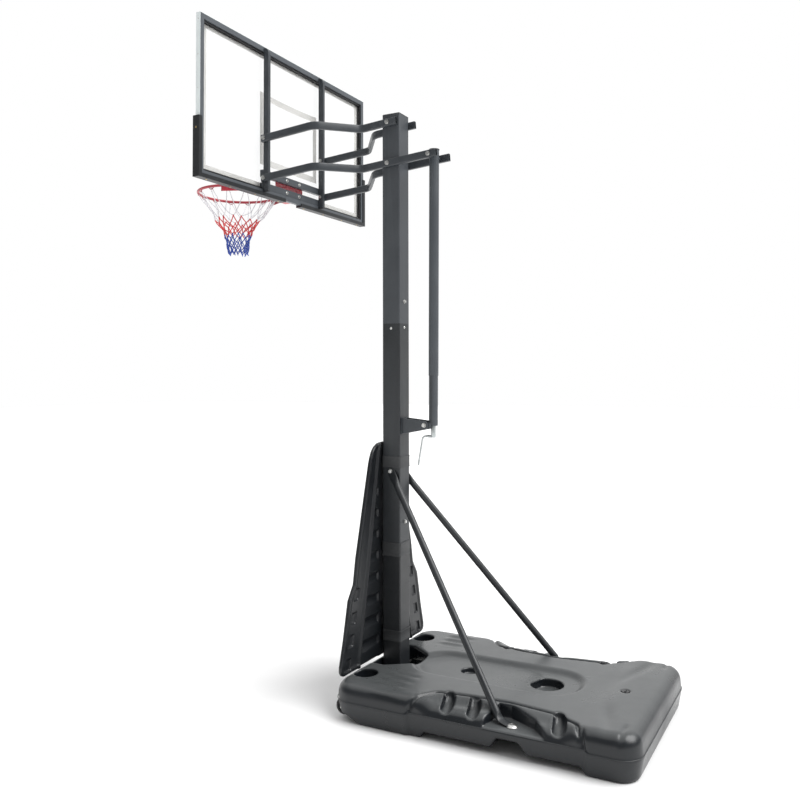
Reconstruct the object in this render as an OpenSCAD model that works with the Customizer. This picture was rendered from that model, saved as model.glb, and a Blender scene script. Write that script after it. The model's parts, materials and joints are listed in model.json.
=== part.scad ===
// Portable basketball hoop: water-filled wheeled base, square three-piece pole, crank-raised
// backboard on two pairs of parallel arms, sprung rim with a cord net.
// X is across the board, -Y is the playing side, Z is up.
// The origin is the pole's centre line on the floor.

/* [Board] */
// Width of the backboard over its trim
board_w = 1525; // [1400:5:1830]
// Height of the backboard
board_h = 820; // [780:5:900]
// Height of the backboard's lower edge above the floor
board_z = 2662.5; // [2640:2.5:2680]
// Playing face of the board, in front of the pole's centre
board_face = 711; // [705:1:720]
// Thickness of the clear panel
glass_t = 5; // [4:0.5:6]
// Width of the steel frame's bars, seen from behind
frame_w = 28; // [25:1:32]
// Centre-to-middle distance of the two upright supports
support_x = 260; // [250:1:290]

/* [Rim] */
// Inside diameter of the ring
rim_d = 450; // [440:1:460]
// Diameter of the ring's bar
rim_bar = 16; // [14:1:18]
// Distance from the board's face to the ring's centre
rim_reach = 381; // [375:1:390]
// Height of the ring's centre line
rim_z = 2757; // [2750:1:2765]
// Number of net hooks
hook_n = 14; // [8:1:16]
// Length of the net
net_l = 345; // [300:5:400]

/* [Pole] */
// Outside width of the square pole
pole_w = 105; // [100:1:108]
// Wall of the pole's tubes
pole_wall = 2.5; // [2:0.5:3]
// Height of the pole's top edge
pole_top = 3063; // [3055:1:3090]
// Height of the lower joint in the pole
joint_low = 775; // [740:5:800]
// Height of the upper joint in the pole
joint_high = 1937; // [1900:1:1960]

/* [Arms] */
// Length of an arm from its pole bolt to its board bolt
arm_l = 658.5; // [640:0.5:670]
// Height of an arm's tube
arm_h = 40; // [36:1:44]
// Width of an arm's tube
arm_t = 20; // [18:1:22]
// Height of the lower arms' pole bolt
arm_low_z = 2796; // [2790:1:2805]
// Distance between the lower and the upper pole bolts
arm_gap = 220; // [210:1:225]
// Slope of the arms, down towards the board
arm_tilt = 4.4; // [0:0.001:6]
// Distance from the lower pole bolt back to the jack's top bolt
jack_arm = 247; // [240:1:255]

/* [Jack] */
// Outside diameter of the jack's upper tube
jack_d = 52; // [52:1:54]
// Lean of the jack, back from upright
jack_lean = 0.4159; // [0:0.0001:1]
// Distance of the jack's axis behind its foot bolt
jack_e = 38; // [36:1:42]
// Height of the jack's foot bolt
jack_foot_z = 1400; // [1390:1:1410]
// Distance of the jack's foot bolt behind the pole's centre
jack_foot_y = 187; // [180:1:190]

/* [Base] */
// Width of the base
base_w = 1000; // [960:5:1040]
// Length of the base
base_l = 1495; // [1450:5:1550]
// Height of the base
base_h = 190; // [185:1:200]
// How far the base reaches in front of the pole's centre
base_front = 95; // [90:1:110]
// Diameter of a wheel
wheel_d = 80; // [70:1:84]

/* [Hidden] */
$fn = 48;

steel = "#3c4145";
plastic = "#34383b";
zinc = "#c9ccca";
rim_red = "#a3202c";

bolt_r = 6;          // radius of a pivot bolt
turn = 0.05;         // radial gap of a turning fit
ease = 0.1;          // radial gap of a hole that a bolt only passes through
gap = 0.3;           // gap between parts that move past each other

pole_r = pole_w / 2;
pole_foot = 60;      // height of the pole's lower end, on the floor of the base's socket
spigot = 140;        // length of the reduced neck inside each pole joint
corner = 6;          // outside corner radius of the pole

arm_x = pole_r + 1.5 + arm_t / 2;        // middle of an arm beside the pole
arm_out_x = support_x + 10.5 + arm_t / 2; // middle of an arm beside its support
arm_y = -11;                              // arm bolts, from the pole's centre
arm_high_z = arm_low_z + arm_gap;
pin_y = arm_y - arm_l * cos(arm_tilt);    // board bolts
pin_low_z = arm_low_z - arm_l * sin(arm_tilt);
arm_wall = 2;
slot_l = 29.6;       // free travel of the jack's top bolt along the lower arms
slot_r = 9;

frame_back = board_face - 27;             // back of the board's frame
frame_d = board_face - glass_t - frame_back;
trim_t = 1.5;
support_d = 34;
support_w = 20;
rail_h = 38;
rail_low_z = board_z + 46;                // middle of the lower rail
rail_high_z = rail_low_z + 70;            // middle of the upper rail
rim_bolt_x = 58;

rim_r = rim_d / 2 + rim_bar / 2;          // ring's centre-line radius
rim_y = board_face + rim_reach;
hinge_y = board_face + 24;
hinge_z = rim_z - 8;
net_top = rim_z - 27;

jack_len = norm([arm_y + jack_arm * cos(arm_tilt) - jack_foot_y,
                 arm_low_z + jack_arm * sin(arm_tilt) - jack_foot_z]);
jack_h = sqrt(jack_len * jack_len - jack_e * jack_e);  // top bolt, along the jack's axis
tube_out = jack_d / 2;
tube_in = 24;        // outside radius of the inner tube
screw_r = 8;

base_mid = base_l / 2 - base_front;
strut_top_z = 1154;
strut_foot = [395, 785, 116];
strut_bolt = [428, 828];
strut_r = 17;
shield_y = pole_r + 4;
shield_t = 26;
wheel_x = 440;
wheel_y = -38;
wheel_z = 62;
axle_l = 60;
axle_r = 6;

// ---------------------------------------------------------------- helpers

module rounded(w, d, r) {
  square([w - 2 * r, d], center = true);
  square([w, d - 2 * r], center = true);
  for (x = [-1, 1], y = [-1, 1]) {
    translate([x * (w / 2 - r), y * (d / 2 - r)]) circle(r);
  }
}

module square_tube(w, wall, z0, z1) {
  translate([0, 0, z0]) linear_extrude(z1 - z0) difference() {
    rounded(w, w, corner);
    rounded(w - 2 * wall, w - 2 * wall, corner - wall);
  }
}

module along_x(x0, x1, r) {
  translate([x0, 0, 0]) rotate([0, 90, 0]) cylinder(r = r, h = x1 - x0);
}

module along_y(y0, y1, r) {
  translate([0, y0, 0]) rotate([-90, 0, 0]) cylinder(r = r, h = y1 - y0);
}

// A bolt along X with a washered hex head at its far end and a nut at its near end
module cross_bolt(x0, x1, r) {
  along_x(x0 - 8, x1 + 1, r);
  for (end = [[x0 - 2, x0], [x1, x1 + 2]]) along_x(end[0], end[1], 2 * r);
  translate([x1 + 2, 0, 0]) rotate([0, 90, 0]) cylinder(r = 1.7 * r, h = 1.2 * r, $fn = 6);
  translate([x0 - 2 - 1.4 * r, 0, 0]) rotate([0, 90, 0]) cylinder(r = 1.7 * r, h = 1.4 * r, $fn = 6);
}

module on_both_sides() {
  children();
  mirror([1, 0, 0]) children();
}

function unit(v) = v / norm(v);
function normal(pts, i) = let (u = unit(pts[i + 1] - pts[i])) [-u[1], u[0]];

// The points of a path moved sideways by t, mitred at its corners
function side(pts, t) = [
  for (i = [0 : len(pts) - 1])
    i == 0 ? pts[0] + t * normal(pts, 0)
    : i == len(pts) - 1 ? pts[i] + t * normal(pts, i - 1)
    : let (a = normal(pts, i - 1), b = normal(pts, i)) pts[i] + t * (a + b) / (1 + a * b)
];
function strip(pts, t) = let (back = side(pts, -t))
  concat(side(pts, t), [for (i = [len(back) - 1 : -1 : 0]) back[i]]);

// A smooth bend at b, starting and ending a distance d from it
function bend(a, b, c, d) = let (p = b + d * unit(a - b), q = b + d * unit(c - b))
  [for (s = [0 : 0.2 : 1]) (1 - s) * (1 - s) * p + 2 * s * (1 - s) * b + s * s * q];

// ---------------------------------------------------------------- base

// Half of the tank's section, from its middle out to its rounded side
tank_r = 120;
tank_profile = [
  [0, 0], [tank_r - 32, 0], [tank_r - 14, 8], [tank_r - 4, 60], [tank_r, 104],
  [tank_r - 3, 128], [tank_r - 12, 150], [tank_r - 28, base_h - 22],
  [tank_r - 50, base_h - 6], [tank_r - 70, base_h], [0, base_h]
];

module tank_body() {
  hull() {
    for (x = [-1, 1], y = [-1, 1]) {
      translate([x * (base_w / 2 - tank_r), base_mid + y * (base_l / 2 - tank_r), 0])
        rotate_extrude($fn = 32) polygon(tank_profile);
    }
  }
}

cup_x = 308;
cup_r = 56;
cup_floor = 120;
shoulder_z = 155;    // top of the lower shoulders along the tank's sides
seat_z = 112;        // floor of the seats for the struts' feet
round_y = 430;
tray_y = 840;
fill_y = 1221;
fill_r = 13;

module base_tank() {
  color(plastic) difference() {
    tank_body();
    // socket for the pole, open towards the back
    translate([0, 0, pole_foot]) linear_extrude(base_h)
      polygon([[-165, -62], [165, -62], [165, 20], [90, 130], [-90, 130], [-165, 20]]);
    // round cups beside the pole
    for (x = [-1, 1]) translate([x * cup_x, 0, cup_floor]) cylinder(r = cup_r, h = base_h);
    // shallow runway with a rounded rear end
    translate([0, 0, base_h - 12]) linear_extrude(base_h) union() {
      translate([-165, 120]) square([330, 750]);
      translate([0, 870]) circle(165, $fn = 96);
    }
    // round recess and tray in the runway
    translate([0, round_y, base_h - 55]) cylinder(r = 46, h = base_h);
    translate([-60, tray_y - 85, base_h - 70]) cube([110, 170, base_h]);
    translate([0, tray_y, base_h - 70]) cylinder(r = 80, h = base_h);
    translate([0, fill_y, base_h - 60]) cylinder(r = fill_r, h = base_h);
    // lower shoulders along both sides
    on_both_sides() translate([0, 0, shoulder_z]) linear_extrude(base_h)
      polygon([[250, 430], [600, 330], [600, 1170], [250, 950]]);
    // seats for the strut feet, open to the sides
    on_both_sides() translate([345, 725, seat_z]) cube([300, 303, base_h]);
    on_both_sides() translate([strut_bolt[0], strut_bolt[1], 60]) cylinder(r = 5 + ease, h = base_h);
    // raised undersides along the middle, with a deeper notch under each strut foot
    for (x = [-1, 1]) {
      translate([x * 480 - 60, 415, -1]) cube([120, 730, 28]);
      translate([x * 480 - 60, 765, -1]) cube([120, 120, 76]);
    }
    // wheel arches in the front corners
    for (x = [-1, 1]) {
      translate([x * wheel_x - 24, -base_front - 1, -1]) cube([48, base_front + 12, wheel_z + 48]);
      translate([x * wheel_x, wheel_y, wheel_z]) along_x(-axle_l / 2, axle_l / 2, axle_r + ease);
    }
    // hole for the pin that holds the pole's foot
    translate([0, 0, pole_foot + 40]) along_x(-190, 190, bolt_r + ease);
  }
}

module fill_plug() {
  color("#222426") translate([0, fill_y, 0]) {
    translate([0, 0, base_h - 30]) cylinder(r = fill_r - gap, h = 30.5);
    translate([0, 0, base_h + 0.5]) cylinder(r = fill_r + 5, h = 4);
    translate([-fill_r, -2.5, base_h + 4.5]) cube([2 * fill_r, 5, 4]);
  }
}

module wheel_axles() {
  color(zinc) for (x = [-1, 1]) translate([x * wheel_x, wheel_y, wheel_z]) {
    along_x(-axle_l / 2, axle_l / 2, axle_r);
  }
}

module wheel() {
  difference() {
    union() {
      along_x(-15, 15, wheel_d / 2 - 4);
      along_x(-11, 11, wheel_d / 2);
      along_x(-18, 18, 12);
    }
    along_x(-20, 20, axle_r + turn);
    for (end = [-1, 1]) translate([end * 15, 0, 0]) difference() {
      along_x(-5, 5, wheel_d / 2 - 12);
      along_x(-6, 6, 14);
    }
  }
}

module wheel_left() { color("#1d1f20") translate([wheel_x, wheel_y, wheel_z]) wheel(); }
module wheel_right() { color("#1d1f20") translate([-wheel_x, wheel_y, wheel_z]) wheel(); }

// ---------------------------------------------------------------- struts

strut_head = [pole_r + 3, 0, strut_top_z];
strut_run = strut_foot - strut_head;
strut_len = norm(strut_run);
flat_t = 5;          // thickness of the metal where an end is pressed flat
tube_start = 62;     // from the top bolt down to the round part of a strut
tube_end = strut_len - 10;

// A round tube with both ends pressed flat and bolted down
module strut() {
  turn_z = atan2(strut_run[1], strut_run[0]);
  turn_y = acos(strut_run[2] / strut_len);
  difference() {
    union() {
      translate(strut_head) rotate([0, turn_y, turn_z]) difference() {
        translate([0, 0, tube_start]) cylinder(r = strut_r, h = tube_end - tube_start);
        translate([0, 0, tube_start + 30]) cylinder(r = strut_r - 2, h = tube_end - tube_start - 60);
      }
      // upper flat end, against the pole's side
      translate(strut_head - [flat_t / 2, 0, 0]) rotate([90, 0, 90]) linear_extrude(flat_t) {
        circle(18);
        rotate(atan2(strut_run[2], strut_run[1])) translate([0, -18]) square([76, 36]);
      }
      // lower flat end, on the tank
      translate([strut_bolt[0], strut_bolt[1], seat_z + 0.2]) linear_extrude(flat_t) {
        circle(20);
        rotate(atan2(strut_foot[1] - strut_bolt[1], strut_foot[0] - strut_bolt[0]))
          translate([0, -17]) square([66, 34]);
      }
    }
    translate(strut_head) along_x(-30, 40, bolt_r + ease);
    translate([strut_bolt[0], strut_bolt[1], 90]) cylinder(r = 5 + ease, h = 80);
  }
}

module strut_left() { color(steel) strut(); }
module strut_right() { color(steel) mirror([1, 0, 0]) strut(); }

module strut_top_bolt() {
  color(zinc) translate([0, 0, strut_top_z]) {
    cross_bolt(-pole_r - 5.5, pole_r + 5.5, bolt_r);
  }
}

module strut_foot_bolts() {
  color(zinc) on_both_sides() translate([strut_bolt[0], strut_bolt[1], 0]) {
    translate([0, 0, 66]) cylinder(r = 5, h = 53);
    translate([0, 0, seat_z + 5.2]) cylinder(r = 22, h = 2.5);
    translate([0, 0, seat_z + 7.7]) cylinder(r1 = 14, r2 = 8, h = 6);
  }
}

// ---------------------------------------------------------------- pole

module pole_holes() {
  for (z = [arm_low_z, arm_high_z]) {
    translate([0, arm_y, z]) along_x(-pole_w, pole_w, bolt_r + ease);
  }
  translate([0, 0, strut_top_z]) along_x(-pole_w, pole_w, bolt_r + ease);
  translate([0, 0, pole_foot + 40]) along_x(-pole_w, pole_w, bolt_r + ease);
  for (z = [joint_low + 111, joint_high + 119, jack_foot_z - 20, jack_foot_z + 25]) {
    translate([0, 0, z]) along_y(0, pole_w, 5 + ease);
  }
}

// The reduced neck that enters the section above
module neck(z) {
  neck_w = pole_w - 2 * pole_wall - 0.4;
  square_tube(neck_w, pole_wall, z - 40, z + spigot);
  translate([0, 0, z - 12]) linear_extrude(12) difference() {
    rounded(pole_w, pole_w, corner);
    rounded(neck_w - 2 * pole_wall, neck_w - 2 * pole_wall, 2);
  }
}

module pole_lower() {
  color(steel) difference() {
    union() {
      square_tube(pole_w, pole_wall, pole_foot, joint_low);
      neck(joint_low);
    }
    pole_holes();
  }
}

module pole_middle() {
  color(steel) difference() {
    union() {
      square_tube(pole_w, pole_wall, joint_low + 0.5, joint_high);
      neck(joint_high);
    }
    pole_holes();
  }
}

module pole_upper() {
  color(steel) difference() {
    square_tube(pole_w, pole_wall, joint_high + 0.5, pole_top);
    pole_holes();
  }
}

module pole_cap() {
  color("#1d1f20") {
    translate([0, 0, pole_top]) linear_extrude(3) rounded(pole_w, pole_w, corner);
    translate([0, 0, pole_top - 18]) linear_extrude(18)
      rounded(pole_w - 2 * pole_wall - 0.6, pole_w - 2 * pole_wall - 0.6, 3);
  }
}

module pole_bolts() {
  color(zinc) for (z = [joint_low + 111, joint_high + 119]) translate([0, 0, z]) {
    along_y(pole_r - 12, pole_r + 1, 5);
    translate([0, pole_r, 0]) rotate([-90, 0, 0]) cylinder(r = 10, h = 2);
    translate([0, pole_r + 2, 0]) rotate([-90, 0, 0]) cylinder(r = 8.5, h = 6, $fn = 6);
  }
}

module pole_foot_pin() {
  color(zinc) translate([0, 0, pole_foot + 40]) along_x(-185, 185, bolt_r);
}

// ---------------------------------------------------------------- shield

// Right half of the shield's outline, from the top down
shield_half = concat(
  [for (a = [90 : -15 : 15]) [70 + 88 * cos(a), 1220 + 88 * sin(a)]],
  [[284, 729], [306, 607], [355, 536], [397, 351], [432, 228]],
  [for (a = [0 : -30 : -90]) [402 + 30 * cos(a), 209 + 30 * sin(a)]]
);
function inset(p, d) = [p[0] - d, p[1] + (p[1] > 700 ? -d : d)];
function mirrored(half) = concat(half, [for (i = [len(half) - 1 : -1 : 0]) [-half[i][0], half[i][1]]]);

module shield_plate(pts, y0, y1) {
  translate([0, -y0, 0]) rotate([90, 0, 0]) linear_extrude(y1 - y0) polygon(mirrored(pts));
}

module pole_shield() {
  color(plastic) difference() {
    shield_plate(shield_half, shield_y, shield_y + shield_t);
    // hollowed from behind, with a stiff middle channel and two ridges left standing
    difference() {
      shield_plate([for (p = shield_half) inset(p, 24)], shield_y - 1, shield_y + shield_t - 5);
      translate([-62, -shield_y - shield_t, 150]) cube([124, shield_t, 1200]);
      on_both_sides() translate([0, -shield_y - shield_t, 0]) rotate([90, 0, 0]) mirror([0, 0, 1])
        linear_extrude(shield_t) polygon([[66, 1330], [82, 1330], [292, 150], [268, 150]]);
      for (z = [300 : 110 : 1180]) {
        translate([-400, -shield_y - shield_t, z]) cube([800, shield_t - 12, 14]);
      }
    }
  }
}

module shield_straps() {
  color("#2a2d2f") for (band = [[264, 322], [708, 781], [1174, 1234]]) {
    translate([0, 0, band[0]]) linear_extrude(band[1] - band[0]) difference() {
      rounded(pole_w + 6.8, pole_w + 6.8, corner + 3);
      rounded(pole_w + 0.6, pole_w + 0.6, corner);
    }
  }
}

// ---------------------------------------------------------------- jack

module jack_frame() {
  translate([0, jack_foot_y, jack_foot_z]) rotate([-jack_lean, 0, 0]) children();
}

module jack_bracket() {
  color(steel) difference() {
    union() {
      translate([-40, pole_r, jack_foot_z - 50]) cube([80, 4, 88]);
      on_both_sides() translate([30, 0, 0]) rotate([90, 0, 90]) linear_extrude(4) union() {
        polygon([[pole_r, jack_foot_z - 48], [jack_foot_y, jack_foot_z - 22],
                 [jack_foot_y, jack_foot_z + 22], [pole_r, jack_foot_z + 36]]);
        translate([jack_foot_y, jack_foot_z]) circle(22);
      }
    }
    translate([0, jack_foot_y, jack_foot_z]) along_x(-60, 60, bolt_r + ease);
    for (z = [-20, 25]) translate([0, 0, jack_foot_z + z]) along_y(0, pole_w, 5 + ease);
  }
}

module bracket_bolts() {
  color(zinc) for (z = [-20, 25]) translate([0, 0, jack_foot_z + z]) {
    along_y(pole_r - 10, pole_r + 5, 5);
    translate([0, pole_r + 4, 0]) rotate([-90, 0, 0]) cylinder(r = 8.5, h = 6, $fn = 6);
  }
}

module jack_foot_bolt() {
  color(zinc) translate([0, jack_foot_y, jack_foot_z]) cross_bolt(-34, 34, bolt_r);
}

inner_len = 900;

module jack_inner_tube() {
  color(steel) jack_frame() difference() {
    union() {
      translate([0, jack_e, -2]) cylinder(r = tube_in, h = inner_len);
      on_both_sides() translate([22, 0, 0]) rotate([90, 0, 90]) linear_extrude(6) union() {
        circle(14);
        translate([0, -14]) square([jack_e, 28]);
      }
    }
    translate([0, jack_e, -3]) cylinder(r = tube_in - 2.5, h = inner_len + 2);
    along_x(-60, 60, bolt_r + turn);
  }
}

module jack_bearing() {
  color(zinc) jack_frame() difference() {
    translate([0, jack_e, -2]) cylinder(r = tube_in - 2.6, h = 12);
    translate([0, jack_e, -3]) cylinder(r = screw_r + turn, h = 14);
  }
}

outer_z0 = 260;
outer_z1 = 1450;

module jack_outer_tube() {
  color(steel) jack_frame() difference() {
    translate([0, jack_e, outer_z0]) cylinder(r = tube_out, h = outer_z1 - outer_z0);
    translate([0, jack_e, outer_z0 - 1]) cylinder(r = tube_in + gap, h = outer_z1 - outer_z0 + 2);
    translate([0, jack_e, jack_h]) along_x(-40, 40, 10 + turn);
  }
}

module jack_cap() {
  color("#1d1f20") jack_frame() translate([0, jack_e, outer_z1]) {
    translate([0, 0, -8]) cylinder(r = tube_in + 0.1, h = 8);
    cylinder(r = tube_out + 2, h = 4);
  }
}

nut_z = 1040;
nut_l = 30;

module jack_nut() {
  color(zinc) jack_frame() difference() {
    translate([0, jack_e, nut_z]) cylinder(r = tube_in + 0.2, h = nut_l);
    translate([0, jack_e, nut_z - 1]) cylinder(r = screw_r + turn, h = nut_l + 2);
  }
}

sleeve_x = arm_x - arm_t / 2 - gap;

module jack_sleeve() {
  color(steel) jack_frame() translate([0, jack_e, jack_h]) difference() {
    along_x(-sleeve_x, sleeve_x, 10);
    along_x(-sleeve_x - 1, sleeve_x + 1, bolt_r + ease);
  }
}

module jack_top_bolt() {
  half = arm_x + arm_t / 2 + gap;
  color(zinc) jack_frame() translate([0, jack_e, jack_h]) cross_bolt(-half, half, bolt_r);
}

crank_z = -58;
crank_reach = 62;
crank_drop = 157;
crank_slant = -9.8;

screw_l = 1300;

module jack_screw() {
  color(zinc) jack_frame() translate([0, jack_e, 0]) {
    translate([0, 0, -20]) cylinder(r = screw_r, h = screw_l);
    translate([0, 0, 10 + gap]) cylinder(r = 14, h = 8);
  }
}

module crank_handle() {
  color("#a9adac") jack_frame() translate([0, jack_e, 0]) {
    difference() {
      translate([0, 0, crank_z - 7]) cylinder(r = 12, h = 4 - crank_z);
      translate([0, 0, -20]) cylinder(r = screw_r + ease, h = 40);
    }
    translate([0, 0, crank_z]) along_y(-crank_reach, 0, 5);
    translate([0, -crank_reach, crank_z]) sphere(r = 5);
    translate([0, -crank_reach, crank_z]) rotate([crank_slant, 0, 0]) {
      translate([0, 0, -crank_drop]) cylinder(r = 5, h = crank_drop);
      translate([0, 0, -crank_drop]) sphere(r = 5);
    }
  }
}

// ---------------------------------------------------------------- arms

module arm_pivot_bolts() {
  half = arm_x + arm_t / 2 + gap;
  color(zinc) for (z = [arm_low_z, arm_high_z]) {
    translate([0, arm_y, z]) cross_bolt(-half, half, bolt_r);
  }
}

module arm_washers() {
  color(zinc) on_both_sides() for (z = [arm_low_z, arm_high_z]) {
    translate([0, arm_y, z]) difference() {
      along_x(pole_r, pole_r + 1.2, 14);
      along_x(pole_r - 1, pole_r + 3, bolt_r + ease);
    }
  }
}

bend_out_y = 330;    // an arm's outer and inner bends, in front of its pole bolt
bend_in_y = 165;
bend_r = 34;         // length of a bend along each of its sides

// The middle line of an arm, seen from above, from its board end to its rear end
function arm_path(front, rear) = let (
  a = [arm_out_x, -arm_l - front], b = [arm_out_x, -bend_out_y], c = [arm_x, -bend_in_y], d = [arm_x, rear]
) concat([a], bend(a, b, c, bend_r), bend(b, c, d, bend_r), [d]);

module arm(z, rear) {
  translate([0, arm_y, z]) rotate([arm_tilt, 0, 0]) difference() {
    translate([0, 0, -arm_h / 2]) linear_extrude(arm_h) polygon(strip(arm_path(17, rear), arm_t / 2));
    translate([0, 0, -arm_h / 2 + arm_wall]) linear_extrude(arm_h - 2 * arm_wall)
      polygon(strip(arm_path(15, rear - arm_wall), arm_t / 2 - arm_wall));
    along_x(0, 2 * arm_x, bolt_r + turn);
    translate([0, -arm_l, 0]) along_x(arm_x, 2 * arm_out_x, bolt_r + turn);
    children();
  }
}

// The long hole in a lower arm that the jack's top bolt slides along
module jack_slot() {
  for (y = [jack_arm, jack_arm + slot_l]) translate([0, y, 0]) along_x(0, 2 * arm_x, slot_r);
  translate([0, jack_arm, -slot_r]) cube([2 * arm_x, slot_l, 2 * slot_r]);
}

tail_left = 292;     // rear ends of the lower arms, behind their pole bolt
tail_right = 306;
stub_left = 52;      // rear ends of the upper arms
stub_right = 98;

module lower_arm_left() { color(steel) arm(arm_low_z, tail_left) jack_slot(); }
module lower_arm_right() { color(steel) mirror([1, 0, 0]) arm(arm_low_z, tail_right) jack_slot(); }
module upper_arm_left() { color(steel) arm(arm_high_z, stub_left); }
module upper_arm_right() { color(steel) mirror([1, 0, 0]) arm(arm_high_z, stub_right); }

// ---------------------------------------------------------------- board

inner_w = board_w - 2 * trim_t;
inner_top = board_z + board_h - trim_t;

module board_panel() {
  color([0.85, 0.9, 0.9, 0.4]) difference() {
    translate([-inner_w / 2, -board_face, board_z]) cube([inner_w, glass_t, inner_top - board_z]);
    for (x = [-rim_bolt_x, rim_bolt_x], z = [rail_low_z, rail_high_z]) {
      translate([x, 0, z]) along_y(-board_face - 5, -frame_back, 4 + ease);
    }
  }
}

bar_w = frame_w - trim_t;
bar_wall = 2;

// A closed hollow bar with its low corner at p
module frame_bar(p, size) {
  wall = [bar_wall, bar_wall, bar_wall];
  translate(p) difference() {
    cube(size);
    translate(wall) cube(size - 2 * wall);
  }
}

module frame_rail(z) {
  color(steel) frame_bar([-inner_w / 2, -frame_back - frame_d, z], [inner_w, frame_d, bar_w]);
}

module frame_stile() {
  color(steel) frame_bar([inner_w / 2 - bar_w, -frame_back - frame_d, board_z + bar_w],
                         [bar_w, frame_d, inner_top - board_z - 2 * bar_w]);
}

module frame_top() { frame_rail(inner_top - bar_w); }
module frame_bottom() { frame_rail(board_z); }
module frame_left() { frame_stile(); }
module frame_right() { mirror([1, 0, 0]) frame_stile(); }

module board_trim() {
  color("#d5d8d8") {
    translate([-board_w / 2, -board_face, inner_top]) cube([board_w, board_face - frame_back, trim_t]);
    for (x = [-board_w / 2, board_w / 2 - trim_t]) {
      translate([x, -board_face, board_z]) cube([trim_t, board_face - frame_back, inner_top - board_z]);
    }
  }
}

support_z0 = board_z + 16;
support_z1 = board_z + board_h - 10;

module support() {
  difference() {
    translate([support_x - support_w / 2, -frame_back, support_z0])
      cube([support_w, support_d, support_z1 - support_z0]);
    translate([support_x - support_w / 2 + 2, -frame_back + 2, support_z0 - 1])
      cube([support_w - 4, support_d - 4, support_z1 - support_z0 + 2]);
    for (z = [pin_low_z, pin_low_z + arm_gap]) {
      translate([0, pin_y, z]) along_x(support_x - 30, support_x + 30, bolt_r + ease);
    }
  }
}

module support_left() { color(steel) support(); }
module support_right() { color(steel) mirror([1, 0, 0]) support(); }

module support_plugs() {
  color("#1d1f20") on_both_sides() for (z = [support_z0 - 3, support_z1]) {
    translate([support_x - support_w / 2, -frame_back, z]) cube([support_w, support_d, 3]);
  }
}

module rail(z) {
  x = support_x + support_w / 2;
  difference() {
    frame_bar([-x, -frame_back - frame_d, z - rail_h / 2], [2 * x, frame_d, rail_h]);
    for (s = [-rim_bolt_x, rim_bolt_x]) {
      translate([s, 0, z]) along_y(-board_face, -frame_back + 1, 4 + ease);
    }
  }
}

module rail_upper() { color(steel) rail(rail_high_z); }
module rail_lower() { color(steel) rail(rail_low_z); }

module board_pivot_bolts() {
  x0 = support_x - support_w / 2;
  x1 = arm_out_x + arm_t / 2 + gap;
  color(zinc) on_both_sides() for (z = [pin_low_z, pin_low_z + arm_gap]) {
    translate([0, pin_y, z]) {
      along_x(x0 - 9, x1 + 1, bolt_r);
      along_x(x1, x1 + 2, 2 * bolt_r);
      translate([x1 + 2, 0, 0]) rotate([0, 90, 0]) cylinder(r = 1.7 * bolt_r, h = 7, $fn = 6);
      translate([x0 - 7, 0, 0]) rotate([0, 90, 0]) cylinder(r = 1.7 * bolt_r, h = 7, $fn = 6);
    }
  }
}

pad_t = 11;          // thickness of a pad outside the board's edge
pad_up = 296;        // height of a pad up the board's side
pad_in = 75;         // inner end of a pad, from the board's middle

module pad() {
  half = board_w / 2;
  y0 = -board_face - 8;
  depth = board_face - frame_back + 14;
  difference() {
    union() {
      translate([pad_in, y0, board_z - pad_t]) cube([half + pad_t - pad_in, depth, pad_t + 10]);
      translate([half - 12, y0, board_z - pad_t]) cube([12 + pad_t, depth, pad_up + pad_t]);
    }
    translate([0, -board_face - gap, board_z - gap])
      cube([half + gap, board_face - frame_back + 2 * gap, pad_up + 50]);
    for (x = rivet_x) translate([x, rivet_y, board_z - pad_t - 1]) {
      cylinder(r = rivet_r + ease, h = pad_t + 2);
    }
    translate([half, rivet_y, side_rivet_z]) along_x(-1, pad_t + 1, rivet_r + ease);
  }
}

rivet_r = 2.5;
rivet_x = [120, 320, 520, 700];
rivet_y = -(board_face + frame_back) / 2;
side_rivet_z = board_z + 235;

module pad_left() { color("#2e3235") pad(); }
module pad_right() { color("#2e3235") mirror([1, 0, 0]) pad(); }

module pad_rivets() {
  color(zinc) on_both_sides() {
    for (x = rivet_x) translate([x, rivet_y, board_z - pad_t]) {
      cylinder(r = rivet_r, h = pad_t - 0.5);
      translate([0, 0, -1.5]) cylinder(r = 2 * rivet_r, h = 1.5);
    }
    translate([board_w / 2 + pad_t, rivet_y, side_rivet_z]) {
      along_x(0.5 - pad_t, 0, rivet_r);
      along_x(0, 1.5, 2 * rivet_r);
    }
  }
}

// ---------------------------------------------------------------- rim

mount_w = 250;
cheek_x = 68;
ledge_z = rim_z - 73;
plate_z = rim_z - 11;  // underside of the rim's neck plate
ledge_l = 84;        // reach of the ledge that carries the springs

module rim_mount() {
  color(rim_red) difference() {
    union() {
      translate([-mount_w / 2, -board_face - 4, ledge_z - 8]) cube([mount_w, 4, 119]);
      on_both_sides() translate([cheek_x, 0, 0]) rotate([90, 0, 90]) linear_extrude(4)
        polygon([[-board_face - 4, ledge_z - 4], [-board_face - ledge_l, ledge_z - 4],
                 [-board_face - ledge_l, ledge_z + 20], [-hinge_y - 12, hinge_z + 8],
                 [-board_face - 4, hinge_z + 8]]);
      translate([-cheek_x, -board_face - ledge_l, ledge_z - 4]) cube([2 * cheek_x, ledge_l - 4, 4]);
    }
    for (x = [-rim_bolt_x, rim_bolt_x], z = [rail_low_z, rail_high_z]) {
      translate([x, 0, z]) along_y(-board_face - 30, -board_face + 1, 4 + ease);
    }
    translate([0, -hinge_y, hinge_z]) along_x(-100, 100, 4 + ease);
  }
}

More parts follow.
